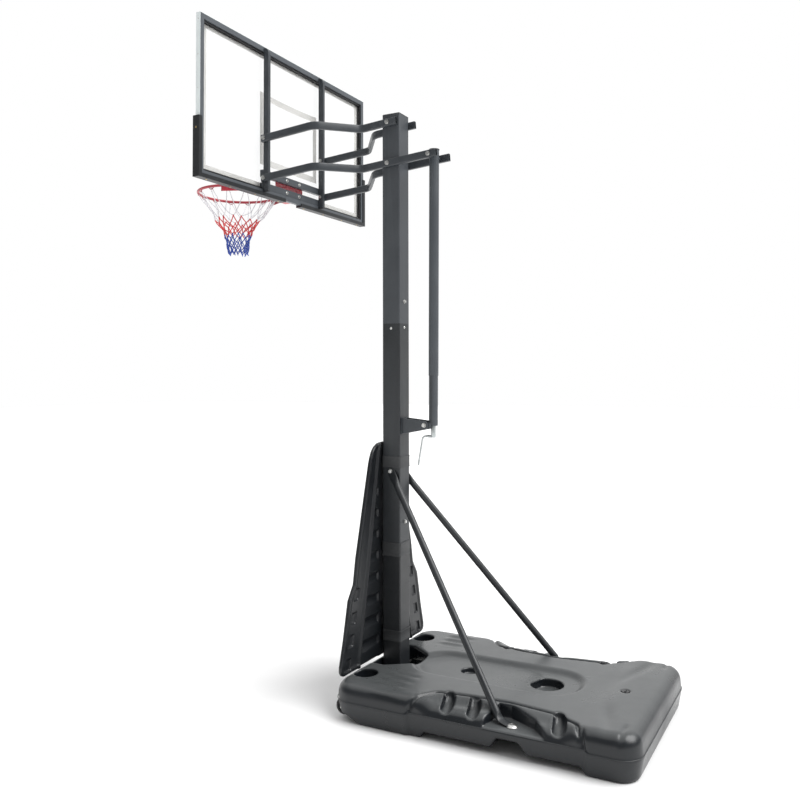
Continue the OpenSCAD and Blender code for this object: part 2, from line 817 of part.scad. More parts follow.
module rim_bolts() {
  color(zinc) for (x = [-rim_bolt_x, rim_bolt_x], z = [rail_low_z, rail_high_z]) {
    translate([x, 0, z]) {
      y1 = -frame_back;
      along_y(-board_face - 6, y1 + 3, 4);
      along_y(-board_face - 8, -board_face - 4, 7.5);
      along_y(y1, y1 + 1.6, 9);
      translate([0, y1 + 1.6, 0]) rotate([-90, 0, 0]) cylinder(r = 7.5, h = 5.5, $fn = 6);
    }
  }
}

module rim_hinge_pin() {
  color(zinc) translate([0, -hinge_y, hinge_z]) {
    along_x(-cheek_x - 5.5, cheek_x + 5.5, 4);
    for (x = [-cheek_x - 8, cheek_x + 5]) along_x(x, x + 3, 7);
  }
}

spring_x = 34;
spring_y = board_face + 62;

// Two rubber-cored coil springs, each as its outer sleeve
module rim_springs() {
  color(zinc) for (x = [-spring_x, spring_x]) translate([x, -spring_y, ledge_z]) difference() {
    cylinder(r = 12, h = plate_z - ledge_z - gap);
    translate([0, 0, 4]) cylinder(r = 8, h = 60);
  }
}

module rim_frame() {
  color(rim_red) difference() {
    union() {
      translate([0, -rim_y, rim_z]) rotate_extrude($fn = 96) translate([rim_r, 0]) circle(rim_bar / 2);
      // neck plate under the ring's back
      translate([0, 0, plate_z]) linear_extrude(5) difference() {
        polygon([[-57, -hinge_y + 8], [57, -hinge_y + 8], [57, -hinge_y - 70], [105, -rim_y + 208],
                 [-105, -rim_y + 208], [-57, -hinge_y - 70]]);
        translate([0, -rim_y]) circle(rim_r + 4);
      }
      // braces from the neck out to the ring's sides
      on_both_sides() {
        translate([0, 0, rim_z - 34]) linear_extrude(28) polygon(strip(brace, 2));
        translate([50, -hinge_y, hinge_z]) along_x(0, 14, 9);
      }
    }
    translate([0, -hinge_y, hinge_z]) along_x(-100, 100, 4 + turn);
  }
}

// Path of a brace, which passes outside the ring and its hooks
brace = [
  [57, -board_face - 97], [80, -board_face - 109], [190, -rim_y + 162], [226, -rim_y + 80], [226, -rim_y + 70]
];

hook_wire = 2.2;     // radius of a hook's wire
hook_drop = 12;

module net_hooks() {
  color(rim_red) for (i = [0 : hook_n - 1]) rotate_about_ring(i * 360 / hook_n) {
    translate([rim_r - 1, 0, -rim_bar / 2 - hook_drop]) cylinder(r = hook_wire, h = hook_drop, $fn = 16);
    translate([rim_r - 9, 0, -rim_bar / 2 - hook_drop]) rotate([0, 90, 0]) cylinder(r = hook_wire, h = 8, $fn = 16);
  }
}

module rotate_about_ring(a) {
  translate([0, -rim_y, rim_z]) rotate([0, 0, a]) children();
}

// Outside of the net's bag: radius at each fraction of its length, from the top down
net_shape = [[206, 0], [178, 0.18], [140, 0.38], [104, 0.55], [84, 0.68], [70, 0.82], [64, 1]];
net_t = 4;

module net() {
  color("#e8e8ea") translate([0, -rim_y, net_top]) rotate_extrude($fn = 64) polygon(concat(
    [for (p = net_shape) [p[0], -p[1] * net_l]],
    [for (i = [len(net_shape) - 1 : -1 : 0]) [net_shape[i][0] - net_t, -net_shape[i][1] * net_l]]
  ));
}

base_tank();
fill_plug();
wheel_axles();
wheel_left();
wheel_right();
strut_left();
strut_right();
strut_top_bolt();
strut_foot_bolts();
pole_lower();
pole_middle();
pole_upper();
pole_cap();
pole_bolts();
pole_foot_pin();
pole_shield();
shield_straps();
jack_bracket();
bracket_bolts();
jack_foot_bolt();
jack_inner_tube();
jack_bearing();
jack_outer_tube();
jack_cap();
jack_nut();
jack_sleeve();
jack_top_bolt();
jack_screw();
crank_handle();
arm_pivot_bolts();
arm_washers();
lower_arm_left();
lower_arm_right();
upper_arm_left();
upper_arm_right();
board_panel();
frame_top();
frame_bottom();
frame_left();
frame_right();
board_trim();
support_left();
support_right();
support_plugs();
rail_upper();
rail_lower();
board_pivot_bolts();
pad_left();
pad_right();
pad_rivets();
rim_mount();
rim_bolts();
rim_hinge_pin();
rim_springs();
rim_frame();
net_hooks();
net();
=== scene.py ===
# Portable basketball hoop: materials, moulded base and shield, bent arms and struts, printed
# lines and the cord net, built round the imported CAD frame. Everything is in metres.
import bpy
import json
import math
import random
import numpy as np
from mathutils import Matrix, Vector


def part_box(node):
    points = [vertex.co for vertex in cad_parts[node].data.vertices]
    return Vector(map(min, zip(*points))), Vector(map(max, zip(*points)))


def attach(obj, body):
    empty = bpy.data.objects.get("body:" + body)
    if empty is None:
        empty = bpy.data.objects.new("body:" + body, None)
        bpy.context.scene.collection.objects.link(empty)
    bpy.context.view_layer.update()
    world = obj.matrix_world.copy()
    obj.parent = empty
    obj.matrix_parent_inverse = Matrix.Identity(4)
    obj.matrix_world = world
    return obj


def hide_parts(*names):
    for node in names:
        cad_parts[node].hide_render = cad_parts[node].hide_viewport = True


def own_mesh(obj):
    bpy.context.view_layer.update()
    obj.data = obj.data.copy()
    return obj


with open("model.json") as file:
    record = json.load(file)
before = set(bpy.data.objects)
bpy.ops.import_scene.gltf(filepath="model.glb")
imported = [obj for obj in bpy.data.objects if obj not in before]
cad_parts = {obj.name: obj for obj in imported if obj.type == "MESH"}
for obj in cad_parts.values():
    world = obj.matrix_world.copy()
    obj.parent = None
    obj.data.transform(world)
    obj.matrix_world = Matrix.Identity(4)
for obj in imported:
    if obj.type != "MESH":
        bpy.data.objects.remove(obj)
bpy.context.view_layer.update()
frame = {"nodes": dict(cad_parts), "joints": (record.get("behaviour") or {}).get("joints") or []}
nodes = frame["nodes"]
joint = {j["name"]: j for j in frame["joints"]}


# ---- camera, light and floor

CAMERA_PLACE = Vector((3.8132, 2.1900, 1.6481))
CAMERA_YAW, CAMERA_PITCH, CAMERA_ROLL = 27.3257, 1.7763, -0.1928   # degrees
CAMERA_LENS, CAMERA_SENSOR = 36.795, 36                            # millimetres
CAMERA_SHIFT = -0.0403, -0.0595
FLOOR_HALF = 40.0


def placed(name, data):
    thing = bpy.data.objects.new(name, data)
    bpy.context.scene.collection.objects.link(thing)
    return thing


def make_camera():
    yaw, pitch, roll = (math.radians(a) for a in (CAMERA_YAW, CAMERA_PITCH, CAMERA_ROLL))
    ahead = Vector((-math.cos(yaw) * math.cos(pitch), -math.sin(yaw) * math.cos(pitch), math.sin(pitch)))
    right = ahead.cross(Vector((0, 0, 1))).normalized()
    up = right.cross(ahead)
    level = (right, up)
    right = level[0] * math.cos(roll) + level[1] * math.sin(roll)
    up = level[1] * math.cos(roll) - level[0] * math.sin(roll)
    data = bpy.data.cameras.new("camera")
    data.lens, data.sensor_width = CAMERA_LENS, CAMERA_SENSOR
    data.shift_x, data.shift_y = CAMERA_SHIFT
    camera = placed("camera", data)
    turn = Matrix((right, up, -ahead)).transposed().to_4x4()
    camera.matrix_world = Matrix.Translation(CAMERA_PLACE) @ turn
    bpy.context.scene.camera = camera


def sun(name, towards, power, spread):
    data = bpy.data.lights.new(name, "SUN")
    data.energy = power
    data.angle = math.radians(spread)
    placed(name, data).rotation_euler = Vector(towards).to_track_quat("-Z", "Y").to_euler()


def make_world():
    """A white surround beyond the hoop, a dimmer one in front of it, and two broad suns from above."""
    world = bpy.data.worlds.new("studio")
    world.use_nodes = True
    facing = add(world, "ShaderNodeVectorMath", operation="DOT_PRODUCT")
    facing.inputs[1].default_value = (-0.888, -0.459, 0.03)
    link(world, add(world, "ShaderNodeTexCoord"), "Generated", facing, 0)
    reach = {"From Min": 0.25, "From Max": 0.72, "To Min": 0.30, "To Max": 1.0}
    level = add(world, "ShaderNodeMapRange", interpolation_type="SMOOTHSTEP", **reach)
    link(world, facing, "Value", level, "Value")
    background = world.node_tree.nodes["Background"]
    background.inputs["Color"].default_value = (1.0, 1.0, 1.0, 1)
    link(world, level, "Result", background, "Strength")
    bpy.context.scene.world = world
    bpy.context.scene.view_settings.view_transform = "Standard"
    sun("high_back", (0.10, -0.62, -0.78), 3.6, 50)
    sun("overhead", (-0.15, 0.20, -0.97), 0.9, 70)


def make_floor():
    mesh = bpy.data.meshes.new("floor")
    corners = [(a * FLOOR_HALF, b * FLOOR_HALF, 0) for a, b in ((-1, -1), (1, -1), (1, 1), (-1, 1))]
    mesh.from_pydata(corners, [], [(0, 1, 2, 3)])
    floor = placed("floor", mesh)
    mat, shader = surface("floor_paint", (0.84, 0.84, 0.84), 0.8)
    grain = noise(mat, 3.0, 4.0)
    drive(mat, grain, [(0.3, (0.83, 0.83, 0.83)), (0.7, (0.86, 0.86, 0.86))], shader, "Base Color")
    floor.data.materials.append(mat)


# ---- material helpers

def add(mat, kind, **values):
    """A new node in a material or in the world, with its inputs and settings filled in."""
    node = mat.node_tree.nodes.new(kind)
    for key, value in values.items():
        if key in node.inputs.keys():
            node.inputs[key].default_value = value
        else:
            setattr(node, key, value)
    return node


def link(mat, a, out, b, into):
    mat.node_tree.links.new(a.outputs[out], b.inputs[into])


def surface(name, colour, rough, metal=0.0):
    """A new material and its shader."""
    mat = bpy.data.materials.new(name)
    mat.use_nodes = True
    shader = mat.node_tree.nodes["Principled BSDF"]
    shader.inputs["Base Color"].default_value = (*colour, 1)
    shader.inputs["Roughness"].default_value = rough
    shader.inputs["Metallic"].default_value = metal
    return mat, shader


def noise(mat, scale, detail=3.0, rough=0.5, stretch=(1, 1, 1)):
    coord = add(mat, "ShaderNodeTexCoord")
    mapping = add(mat, "ShaderNodeMapping", Scale=stretch)
    link(mat, coord, "Object", mapping, "Vector")
    tex = add(mat, "ShaderNodeTexNoise", Scale=scale, Detail=detail, Roughness=rough)
    link(mat, mapping, "Vector", tex, "Vector")
    return tex


def drive(mat, texture, stops, shader, into):
    """Runs an input of the shader from a texture, through a ramp."""
    link(mat, ramp(mat, texture, stops), "Color", shader, into)


def ramp(mat, source, stops, out="Fac"):
    node = add(mat, "ShaderNodeValToRGB")
    link(mat, source, out, node, "Fac")
    elements = node.color_ramp.elements
    while len(elements) < len(stops):
        elements.new(0.5)
    for element, (at, value) in zip(elements, stops):
        element.position = at
        element.color = (*value, 1) if isinstance(value, tuple) else (value, value, value, 1)
    return node


def mix(mat, factor, a, b):
    """The output of a mix of two colours, each an output socket or a plain colour."""
    node = add(mat, "ShaderNodeMix", data_type="RGBA")
    sockets = {s.identifier: s for s in node.inputs}
    mat.node_tree.links.new(factor, sockets["Factor_Float"])
    for key, value in (("A_Color", a), ("B_Color", b)):
        if isinstance(value, bpy.types.NodeSocket):
            mat.node_tree.links.new(value, sockets[key])
        else:
            sockets[key].default_value = (*value, 1)
    return next(s for s in node.outputs if s.identifier == "Result_Color")


def bump(mat, texture, strength, distance, above):
    """Runs the normal of the shader, or of the bump above this one, from a texture."""
    node = add(mat, "ShaderNodeBump", Strength=strength, Distance=distance)
    link(mat, texture, "Fac", node, "Height")
    link(mat, node, "Normal", above, "Normal")
    return node


def powder_coat(name, colour, lighter, rough=0.42, grain=520.0):
    """Painted steel: slight cloudiness, orange peel, fine sparkle and rubbed edges."""
    mat, shader = surface(name, colour, rough)
    clouds = noise(mat, 7.0, 4.0, 0.55)
    tone = ramp(mat, clouds, [(0.3, colour), (0.72, lighter)])
    specks = ramp(mat, noise(mat, grain * 1.6, 1.0), [(0.66, 0.0), (0.72, 0.35)])
    sparkle = tuple(min(1, c * 2.4 + 0.02) for c in colour)
    tint = mix(mat, specks.outputs["Color"], tone.outputs["Color"], sparkle)
    curvature = add(mat, "ShaderNodeNewGeometry")
    edges = ramp(mat, curvature, [(0.56, 0.0), (0.72, 1.0)], "Pointiness")
    rubbed = mix(mat, edges.outputs["Color"], tint, tuple(c * 1.7 + 0.01 for c in lighter))
    mat.node_tree.links.new(rubbed, shader.inputs["Base Color"])
    drive(mat, clouds, [(0.25, rough - 0.07), (0.75, rough + 0.09)], shader, "Roughness")
    bump(mat, noise(mat, grain, 2.0), 0.22, 0.0006, shader)
    shader.inputs["Coat Weight"].default_value = 0.12
    shader.inputs["Coat Roughness"].default_value = 0.3
    return mat


def moulded(name, colour, lighter, rough=0.45, grain=900.0, painted_top_light=0.0):
    """Blow-moulded polyethylene: fine grain, faint flow lines, scuffs, and painted light on upward faces."""
    mat, shader = surface(name, colour, rough)
    clouds = noise(mat, 3.5, 5.0, 0.6)
    tone = ramp(mat, clouds, [(0.3, colour), (0.7, lighter)])
    streaks = noise(mat, 14.0, 3.0, 0.6, (1.0, 0.12, 1.0))
    scuffs = ramp(mat, streaks, [(0.58, 0.0), (0.75, 0.3)])
    scuff_tone = tuple(c * 1.8 + 0.01 for c in lighter)
    tint = mix(mat, scuffs.outputs["Color"], tone.outputs["Color"], scuff_tone)
    # Painted light: faces that point upward are mixed towards a lighter grey, standing in for light from the
    # sky above.
    if painted_top_light:
        geometry = add(mat, "ShaderNodeNewGeometry")
        split = add(mat, "ShaderNodeSeparateXYZ")
        link(mat, geometry, "Normal", split, "Vector")
        up = add(mat, "ShaderNodeMapRange", **{"From Min": 0.55, "From Max": 1.0, "To Max": painted_top_light})
        link(mat, split, "Z", up, "Value")
        tint = mix(mat, up.outputs["Result"], tint, (0.20, 0.21, 0.21))
    mat.node_tree.links.new(tint, shader.inputs["Base Color"])
    drive(mat, clouds, [(0.25, rough - 0.08), (0.75, rough + 0.1)], shader, "Roughness")
    fine = bump(mat, noise(mat, grain, 2.0), 0.25, 0.0005, shader)
    bump(mat, noise(mat, 11.0, 2.0), 0.25, 0.004, fine)
    return mat


def plated(name, colour, dark, rough=0.28):
    """Zinc plate or bare metal: spangle, fine brushing and dull patches."""
    mat, shader = surface(name, colour, rough, 1.0)
    spangle = noise(mat, 160.0, 4.0, 0.6)
    drive(mat, spangle, [(0.3, dark), (0.65, colour)], shader, "Base Color")
    drive(mat, noise(mat, 45.0, 3.0), [(0.3, rough - 0.08), (0.7, rough + 0.16)], shader, "Roughness")
    bump(mat, noise(mat, 900.0, 2.0), 0.15, 0.0003, shader)
    return mat


def cord_material(name, colour, shadow):
    """Twisted and braided polyester cord."""
    mat, shader = surface(name, colour, 0.75)
    weave = add(mat, "ShaderNodeTexWave", Scale=260.0, Distortion=3.0, Detail=2.0, bands_direction="DIAGONAL")
    link(mat, add(mat, "ShaderNodeTexCoord"), "Object", weave, "Vector")
    drive(mat, weave, [(0.15, shadow), (0.6, colour)], shader, "Base Color")
    bump(mat, weave, 0.6, 0.001, shader)
    shader.inputs["Sheen Weight"].default_value = 0.3
    return mat


def printed_film(name):
    """Pale screen print, slightly uneven."""
    mat, shader = surface(name, (0.55, 0.54, 0.52), 0.4)
    clouds = noise(mat, 5.0, 3.0)
    drive(mat, clouds, [(0.3, (0.50, 0.49, 0.47)), (0.7, (0.60, 0.59, 0.57))], shader, "Base Color")
    bump(mat, noise(mat, 1400.0, 1.0), 0.1, 0.0002, shader)
    return mat


def clear_panel(name):
    """Clear sheet with a faint green body and light smears."""
    mat, shader = surface(name, (0.93, 0.97, 0.96), 0.05)
    smears = noise(mat, 2.5, 4.0, 0.6, (1, 1, 0.35))
    drive(mat, smears, [(0.35, 0.05), (0.8, 0.10)], shader, "Alpha")
    drive(mat, smears, [(0.3, (0.96, 0.98, 0.975)), (0.8, (0.92, 0.95, 0.945))], shader, "Base Color")
    return mat


steel = powder_coat("charcoal_powder_coat", (0.030, 0.035, 0.041), (0.044, 0.050, 0.057), 0.40)
# Painted shade: darker copies of the same powder coat, one for the pole's middle and the struts and a darkest
# one for the pole's foot, standing in for the shade lower down.
shaded_steel = powder_coat("shaded_powder_coat", (0.010, 0.012, 0.014), (0.016, 0.019, 0.022), 0.42)
deep_shaded_steel = powder_coat("deep_shaded_powder_coat", (0.006, 0.007, 0.009), (0.010, 0.012, 0.014), 0.42)
pole_steel = powder_coat("pole_powder_coat", (0.027, 0.031, 0.036), (0.040, 0.045, 0.051), 0.44)
# The base gets painted light on its upward faces, a lighter grey where the surface points up.
base_plastic = moulded("base_polyethylene", (0.005, 0.007, 0.009), (0.009, 0.011, 0.014), 0.30, painted_top_light=0.34)
shield_plastic = moulded("shield_polyethylene", (0.006, 0.007, 0.009), (0.010, 0.012, 0.014), 0.34)
pad_rubber = moulded("pad_rubber", (0.010, 0.011, 0.013), (0.016, 0.018, 0.020), 0.42, 1200.0)
black_plastic = moulded("black_plastic", (0.010, 0.010, 0.011), (0.017, 0.017, 0.018), 0.36, 1400.0)
strap_nylon = moulded("strap_nylon", (0.030, 0.032, 0.034), (0.045, 0.047, 0.049), 0.5, 1400.0)
wheel_rubber = moulded("wheel_rubber", (0.012, 0.012, 0.013), (0.02, 0.02, 0.021), 0.6, 1400.0)
zinc = plated("zinc_plate", (0.72, 0.72, 0.70), (0.52, 0.52, 0.51))
crank_zinc = plated("crank_zinc", (0.55, 0.58, 0.58), (0.42, 0.45, 0.45), 0.34)
brass = plated("brass_rivet", (0.72, 0.56, 0.28), (0.52, 0.38, 0.17), 0.3)
anodised = powder_coat("anodised_trim", (0.66, 0.70, 0.70), (0.52, 0.56, 0.56), 0.34)
rim_paint = powder_coat("rim_powder_coat", (0.30, 0.022, 0.035), (0.42, 0.035, 0.05), 0.30, 420.0)
panel = clear_panel("clear_panel")
printed = printed_film("screen_print")
cords = {
    "white": cord_material("cord_white", (0.78, 0.78, 0.80), (0.55, 0.55, 0.60)),
    "red": cord_material("cord_red", (0.75, 0.04, 0.04), (0.45, 0.015, 0.02)),
    "blue": cord_material("cord_blue", (0.035, 0.10, 0.52), (0.015, 0.045, 0.28)),
}


# ---- mesh helpers

def new_piece(name, points, faces, mat, body, smooth=True):
    mesh = bpy.data.meshes.new(name)
    mesh.from_pydata([tuple(p) for p in points], [], [tuple(f) for f in faces])
    mesh.validate()
    mesh.update()
    piece = placed(name, mesh)
    mesh.materials.append(mat)
    if smooth:
        mesh.shade_smooth()
    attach(piece, body)
    return piece


def bevel(piece, width, segments=3, angle=35):
    mod = piece.modifiers.new("bevel", "BEVEL")
    mod.width = width
    mod.segments = segments
    mod.limit_method = "ANGLE"
    mod.angle_limit = math.radians(angle)


def smooth_by_angle(piece, angle=38):
    piece.data.shade_smooth()
    limit = math.radians(angle)
    mesh = piece.data
    face_normals = [p.normal.copy() for p in mesh.polygons]
    touching = {}
    for i, poly in enumerate(mesh.polygons):
        for key in poly.edge_keys:
            touching.setdefault(key, []).append(i)
    for edge in mesh.edges:
        sides = touching.get(tuple(sorted(edge.vertices)), [])
        if len(sides) == 2 and face_normals[sides[0]].angle(face_normals[sides[1]], 0) > limit:
            edge.use_edge_sharp = True


class Parts:
    """Collects several closed shapes into one mesh."""

    def __init__(self):
        self.points, self.faces = [], []

    def add(self, points, faces):
        start = len(self.points)
        self.points += [tuple(p) for p in points]
        self.faces += [tuple(start + i for i in f) for f in faces]

    def piece(self, name, mat, body, smooth=True):
        return new_piece(name, self.points, self.faces, mat, body, smooth)


def turned(faces):
    """The same faces facing the other way."""
    return [tuple(reversed(f)) for f in faces]


def rings_to_faces(count, sides, closed=False, caps=True):
    faces = []
    spans = count if closed else count - 1
    for i in range(spans):
        a, b = i * sides, (i + 1) % count * sides
        for j in range(sides):
            k = (j + 1) % sides
            faces.append((a + j, a + k, b + k, b + j))
    if caps and not closed:
        faces.append(tuple(reversed(range(sides))))
        faces.append(tuple((count - 1) * sides + j for j in range(sides)))
    return faces


def unit(rows):
    return rows / np.linalg.norm(rows, axis=-1, keepdims=True)


def path_frames(path, closed=False, first_side=(0, 0, 1)):
    """Direction, side and up at each point of a path, turning as little as possible."""
    path = np.asarray(path, float)
    ahead = np.roll(path, -1, 0) - path
    behind = path - np.roll(path, 1, 0)
    if not closed:
        ahead[-1], behind[0] = behind[-1], ahead[0]
    direction = unit(unit(ahead) + unit(behind))
    side = np.array(first_side, float)
    if abs(side @ direction[0]) > 0.9:
        side = np.array((1.0, 0, 0))
    sides = []
    for d in direction:
        side = unit(side - d * (side @ d))
        sides.append(side)
    sides = np.array(sides)
    return direction, sides, np.cross(direction, sides)


def sweep(path, section, closed=False, first_side=(0, 0, 1), caps=True):
    """section is one outline, or a function of the point's index that gives one."""
    path = np.asarray(path, float)
    _, side, up = path_frames(path, closed, first_side)
    points = []
    for i, p in enumerate(path):
        outline = section(i) if callable(section) else section
        for a, b in outline:
            points.append(p + side[i] * a + up[i] * b)
    return points, rings_to_faces(len(path), len(outline), closed, caps)


def circle(radius, sides):
    return [(radius * math.cos(t), radius * math.sin(t)) for t in np.arange(sides) * 2 * math.pi / sides]


def round_rect(width, height, radius, steps=4):
    outline = []
    for quarter in range(4):
        cx = (width / 2 - radius) * (1 if quarter in (0, 3) else -1)
        cy = (height / 2 - radius) * (1 if quarter < 2 else -1)
        for s in range(steps):
            t = (quarter + s / (steps - 1)) * math.pi / 2
            outline.append((cx + radius * math.cos(t), cy + radius * math.sin(t)))
    return outline


def rounded_path(corners, radius, steps, gap):
    """Straight runs joined by smooth bends, with a point at about every gap."""
    corners = [np.asarray(c, float) for c in corners]
    path = [corners[0]]
    for i in range(1, len(corners) - 1):
        a, b, c = corners[i - 1], corners[i], corners[i + 1]
        p = b + unit(a - b) * radius
        q = b + unit(c - b) * radius
        for t in np.linspace(0, 1, steps):
            path.append((1 - t) ** 2 * p + 2 * t * (1 - t) * b + t * t * q)
    path.append(corners[-1])
    return resample(path, gap)


def resample(path, step):
    path = np.asarray(path, float)
    gaps = np.linalg.norm(np.diff(path, axis=0), axis=1)
    along = np.concatenate([[0], np.cumsum(gaps)])
    count = max(2, int(math.ceil(along[-1] / step)) + 1)
    at = np.linspace(0, along[-1], count)
    return np.stack([np.interp(at, along, path[:, k]) for k in range(3)], 1)


HUB = 0.0004     # radius of the closed end of a turned shape


def lathe(profile, sides, place, axis):
    """A closed ring of revolution from (radius, along) points, round axis through place."""
    axis = Vector(axis).normalized()
    a = axis.orthogonal().normalized()
    b = axis.cross(a)
    points = []
    for j in range(sides):
        t = 2 * math.pi * j / sides
        out = a * math.cos(t) + b * math.sin(t)
        points += [Vector(place) + out * r + axis * h for r, h in profile]
    quads = rings_to_faces(sides, len(profile), closed=True)
    return points, [(p, s, r, q) for p, q, r, s in quads]


# ---- moulded shapes from a distance field

def smooth_step(low, high, value):
    t = np.clip((value - low) / (high - low), 0, 1)
    return t * t * (3 - 2 * t)


def round_both(a, b, radius):
    """The overlap of two shapes with a rounded edge."""
    u, v = np.maximum(radius + a, 0), np.maximum(radius + b, 0)
    return np.minimum(-radius, np.maximum(a, b)) + np.sqrt(u * u + v * v)


def cut(shape, hole, radius):
    """shape without hole, with a rounded brink."""
    return round_both(shape, -hole, radius)


def box_2d(x, y, half_x, half_y, radius):
    qx, qy = np.abs(x) - half_x + radius, np.abs(y) - half_y + radius
    outside = np.sqrt(np.maximum(qx, 0) ** 2 + np.maximum(qy, 0) ** 2)
    return outside + np.minimum(np.maximum(qx, qy), 0) - radius


def polygon_2d(x, y, corners):
    """Signed distance to a polygon."""
    best = np.full(np.broadcast(x, y).shape, 1e9)
    sign = np.ones_like(best)
    for i, (ax, ay) in enumerate(corners):
        bx, by = corners[i - 1]
        ex, ey, wx, wy = bx - ax, by - ay, x - ax, y - ay
        t = np.clip((wx * ex + wy * ey) / (ex * ex + ey * ey), 0, 1)
        best = np.minimum(best, (wx - ex * t) ** 2 + (wy - ey * t) ** 2)
        above, below, left = y >= ay, y < by, ex * wy > ey * wx
        flip = (above & below & left) | (~above & ~below & ~left)
        sign = np.where(flip, -sign, sign)
    return sign * np.sqrt(best)


def disc(x, y, radius):
    return np.sqrt(x ** 2 + y ** 2) - radius


def ellipsoid(x, y, z, centre, radii):
    qx, qy, qz = (x - centre[0]) / radii[0], (y - centre[1]) / radii[1], (z - centre[2]) / radii[2]
    return (np.sqrt(qx * qx + qy * qy + qz * qz) - 1) * min(radii)


def surface_net(field, low, step):
    """The zero surface of a field sampled on a grid: one point in each crossed cell, one quad on
    each crossed grid edge."""
    inside = field < 0
    nx, ny, nz = field.shape
    total = np.zeros((nx - 1, ny - 1, nz - 1, 3))
    hits = np.zeros((nx - 1, ny - 1, nz - 1))
    corners = [(i, j, k) for i in (0, 1) for j in (0, 1) for k in (0, 1)]
    for a in corners:
        for axis in range(3):
            if a[axis]:
                continue
            b = tuple(1 if n == axis else a[n] for n in range(3))
            fa, fb = (field[i:nx - 1 + i, j:ny - 1 + j, k:nz - 1 + k] for i, j, k in (a, b))
            crossed = (fa < 0) != (fb < 0)
            span = np.where(crossed, fa - fb, 1)
            t = np.where(crossed, fa / span, 0)
            for n in range(3):
                total[..., n] += crossed * (a[n] + (t if n == axis else 0))
            hits += crossed
    index = -np.ones(hits.shape, int)
    cells = np.argwhere(hits > 0)
    index[hits > 0] = np.arange(len(cells))
    points = (cells + total[hits > 0] / hits[hits > 0][:, None]) * step + np.asarray(low)
    quads = []
    for axis in range(3):
        u, v = [n for n in range(3) if n != axis]
        if axis == 1:
            u, v = v, u
        start = [slice(None)] * 3
        end = [slice(None)] * 3
        start[axis], end[axis] = slice(0, -1), slice(1, None)
        a, b = inside[tuple(start)], inside[tuple(end)]
        edges = np.argwhere(a != b)
        edges = edges[(edges[:, u] > 0) & (edges[:, v] > 0)]
        edges = edges[(edges[:, u] < field.shape[u] - 1) & (edges[:, v] < field.shape[v] - 1)]
        ring = []
        for du, dv in ((1, 1), (0, 1), (0, 0), (1, 0)):
            cell = edges.copy()
            cell[:, u] -= du
            cell[:, v] -= dv
            ring.append(index[cell[:, 0], cell[:, 1], cell[:, 2]])
        quad = np.stack(ring, 1)
        outward = a[edges[:, 0], edges[:, 1], edges[:, 2]]
        quads.append(np.where(outward[:, None], quad, quad[:, ::-1]))
    return points, np.concatenate(quads)


def moulded_piece(name, field_of, low, high, step, mat, body):
    axes = [np.arange(low[n] - 2 * step, high[n] + 2.5 * step, step) for n in range(3)]
    x, y, z = np.meshgrid(*axes, indexing="ij", sparse=True)
    field = np.broadcast_to(field_of(x, y, z), [len(a) for a in axes]).astype(np.float64)
    points, quads = surface_net(field, [a[0] for a in axes], step)
    mesh = bpy.data.meshes.new(name)
    mesh.vertices.add(len(points))
    mesh.vertices.foreach_set("co", points.ravel())
    mesh.loops.add(quads.size)
    mesh.loops.foreach_set("vertex_index", quads.ravel().astype(np.int32))
    mesh.polygons.add(len(quads))
    mesh.polygons.foreach_set("loop_start", np.arange(0, quads.size, 4, dtype=np.int32))
    mesh.update(calc_edges=True)
    mesh.validate()
    mesh.materials.append(mat)
    mesh.shade_smooth()
    piece = placed(name, mesh)
    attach(piece, body)
    return piece


# ---- base

tank_low, tank_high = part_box("base_tank")
TANK_HALF = tank_high.x
TANK_MID = (tank_low.y + tank_high.y) / 2
TANK_HALF_L = (tank_high.y - tank_low.y) / 2
FRONT_R, REAR_R = 0.12, 0.10     # corners of the plan
EDGE_R = 0.052                   # rolled edge of the top
TOP_Z = 0.184
SEAM = 0.100
WHEEL = (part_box("wheel_left")[0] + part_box("wheel_left")[1]) / 2
WHEEL_GAP = 0.048
# The arch-shaped shoulder round each strut's foot, before it is swollen by its radius
SHOULDER = [(0.385, 0.780), (0.398, 0.600), (0.418, 0.463), (0.490, 0.412), (0.660, 0.385), (0.660, 1.160),
            (0.462, 1.080), (0.412, 0.985)]
SHOULDER_R = 0.055
SHOULDER_ENDS = 0.333, 1.178     # where its groove meets the seam
GILLS = [0.510, 0.640, 1.040]
SEAT = [(0.352, 0.735), (0.53, 0.70), (0.53, 1.04), (0.415, 0.930), (0.352, 0.80)]
SEAT_Z = 0.118
SOCKET = [(-0.163, -0.062), (-0.163, 0.02), (-0.075, 0.145), (0.075, 0.145), (0.163, 0.02), (0.163, -0.062)]
SOCKET_Z = 0.060
CUP_X, CUP_R, CUP_Z = 0.308, 0.058, 0.120
WELL_Y, WELL_R, WELL_Z = 0.430, 0.044, 0.135
TRAY_Y, TRAY_R, TRAY_Z = 0.840, 0.078, 0.120
FILL_Y, FILL_R = 1.221, 0.021


def groove(distance, width):
    """1 along a line, falling to 0 within about twice the width."""
    return np.exp(-(distance / width) ** 2)


def seam_height(y):
    """The parting line steps up between the two ground pads."""
    return SEAM + 0.012 * (smooth_step(0.325, 0.345, y) - smooth_step(1.165, 1.19, y))


def tank_outline(x, y):
    front = box_2d(x, y - TANK_MID, TANK_HALF, TANK_HALF_L, FRONT_R)
    rear = box_2d(x, y - TANK_MID, TANK_HALF, TANK_HALF_L, REAR_R)
    return np.where(y < TANK_MID, front, rear)


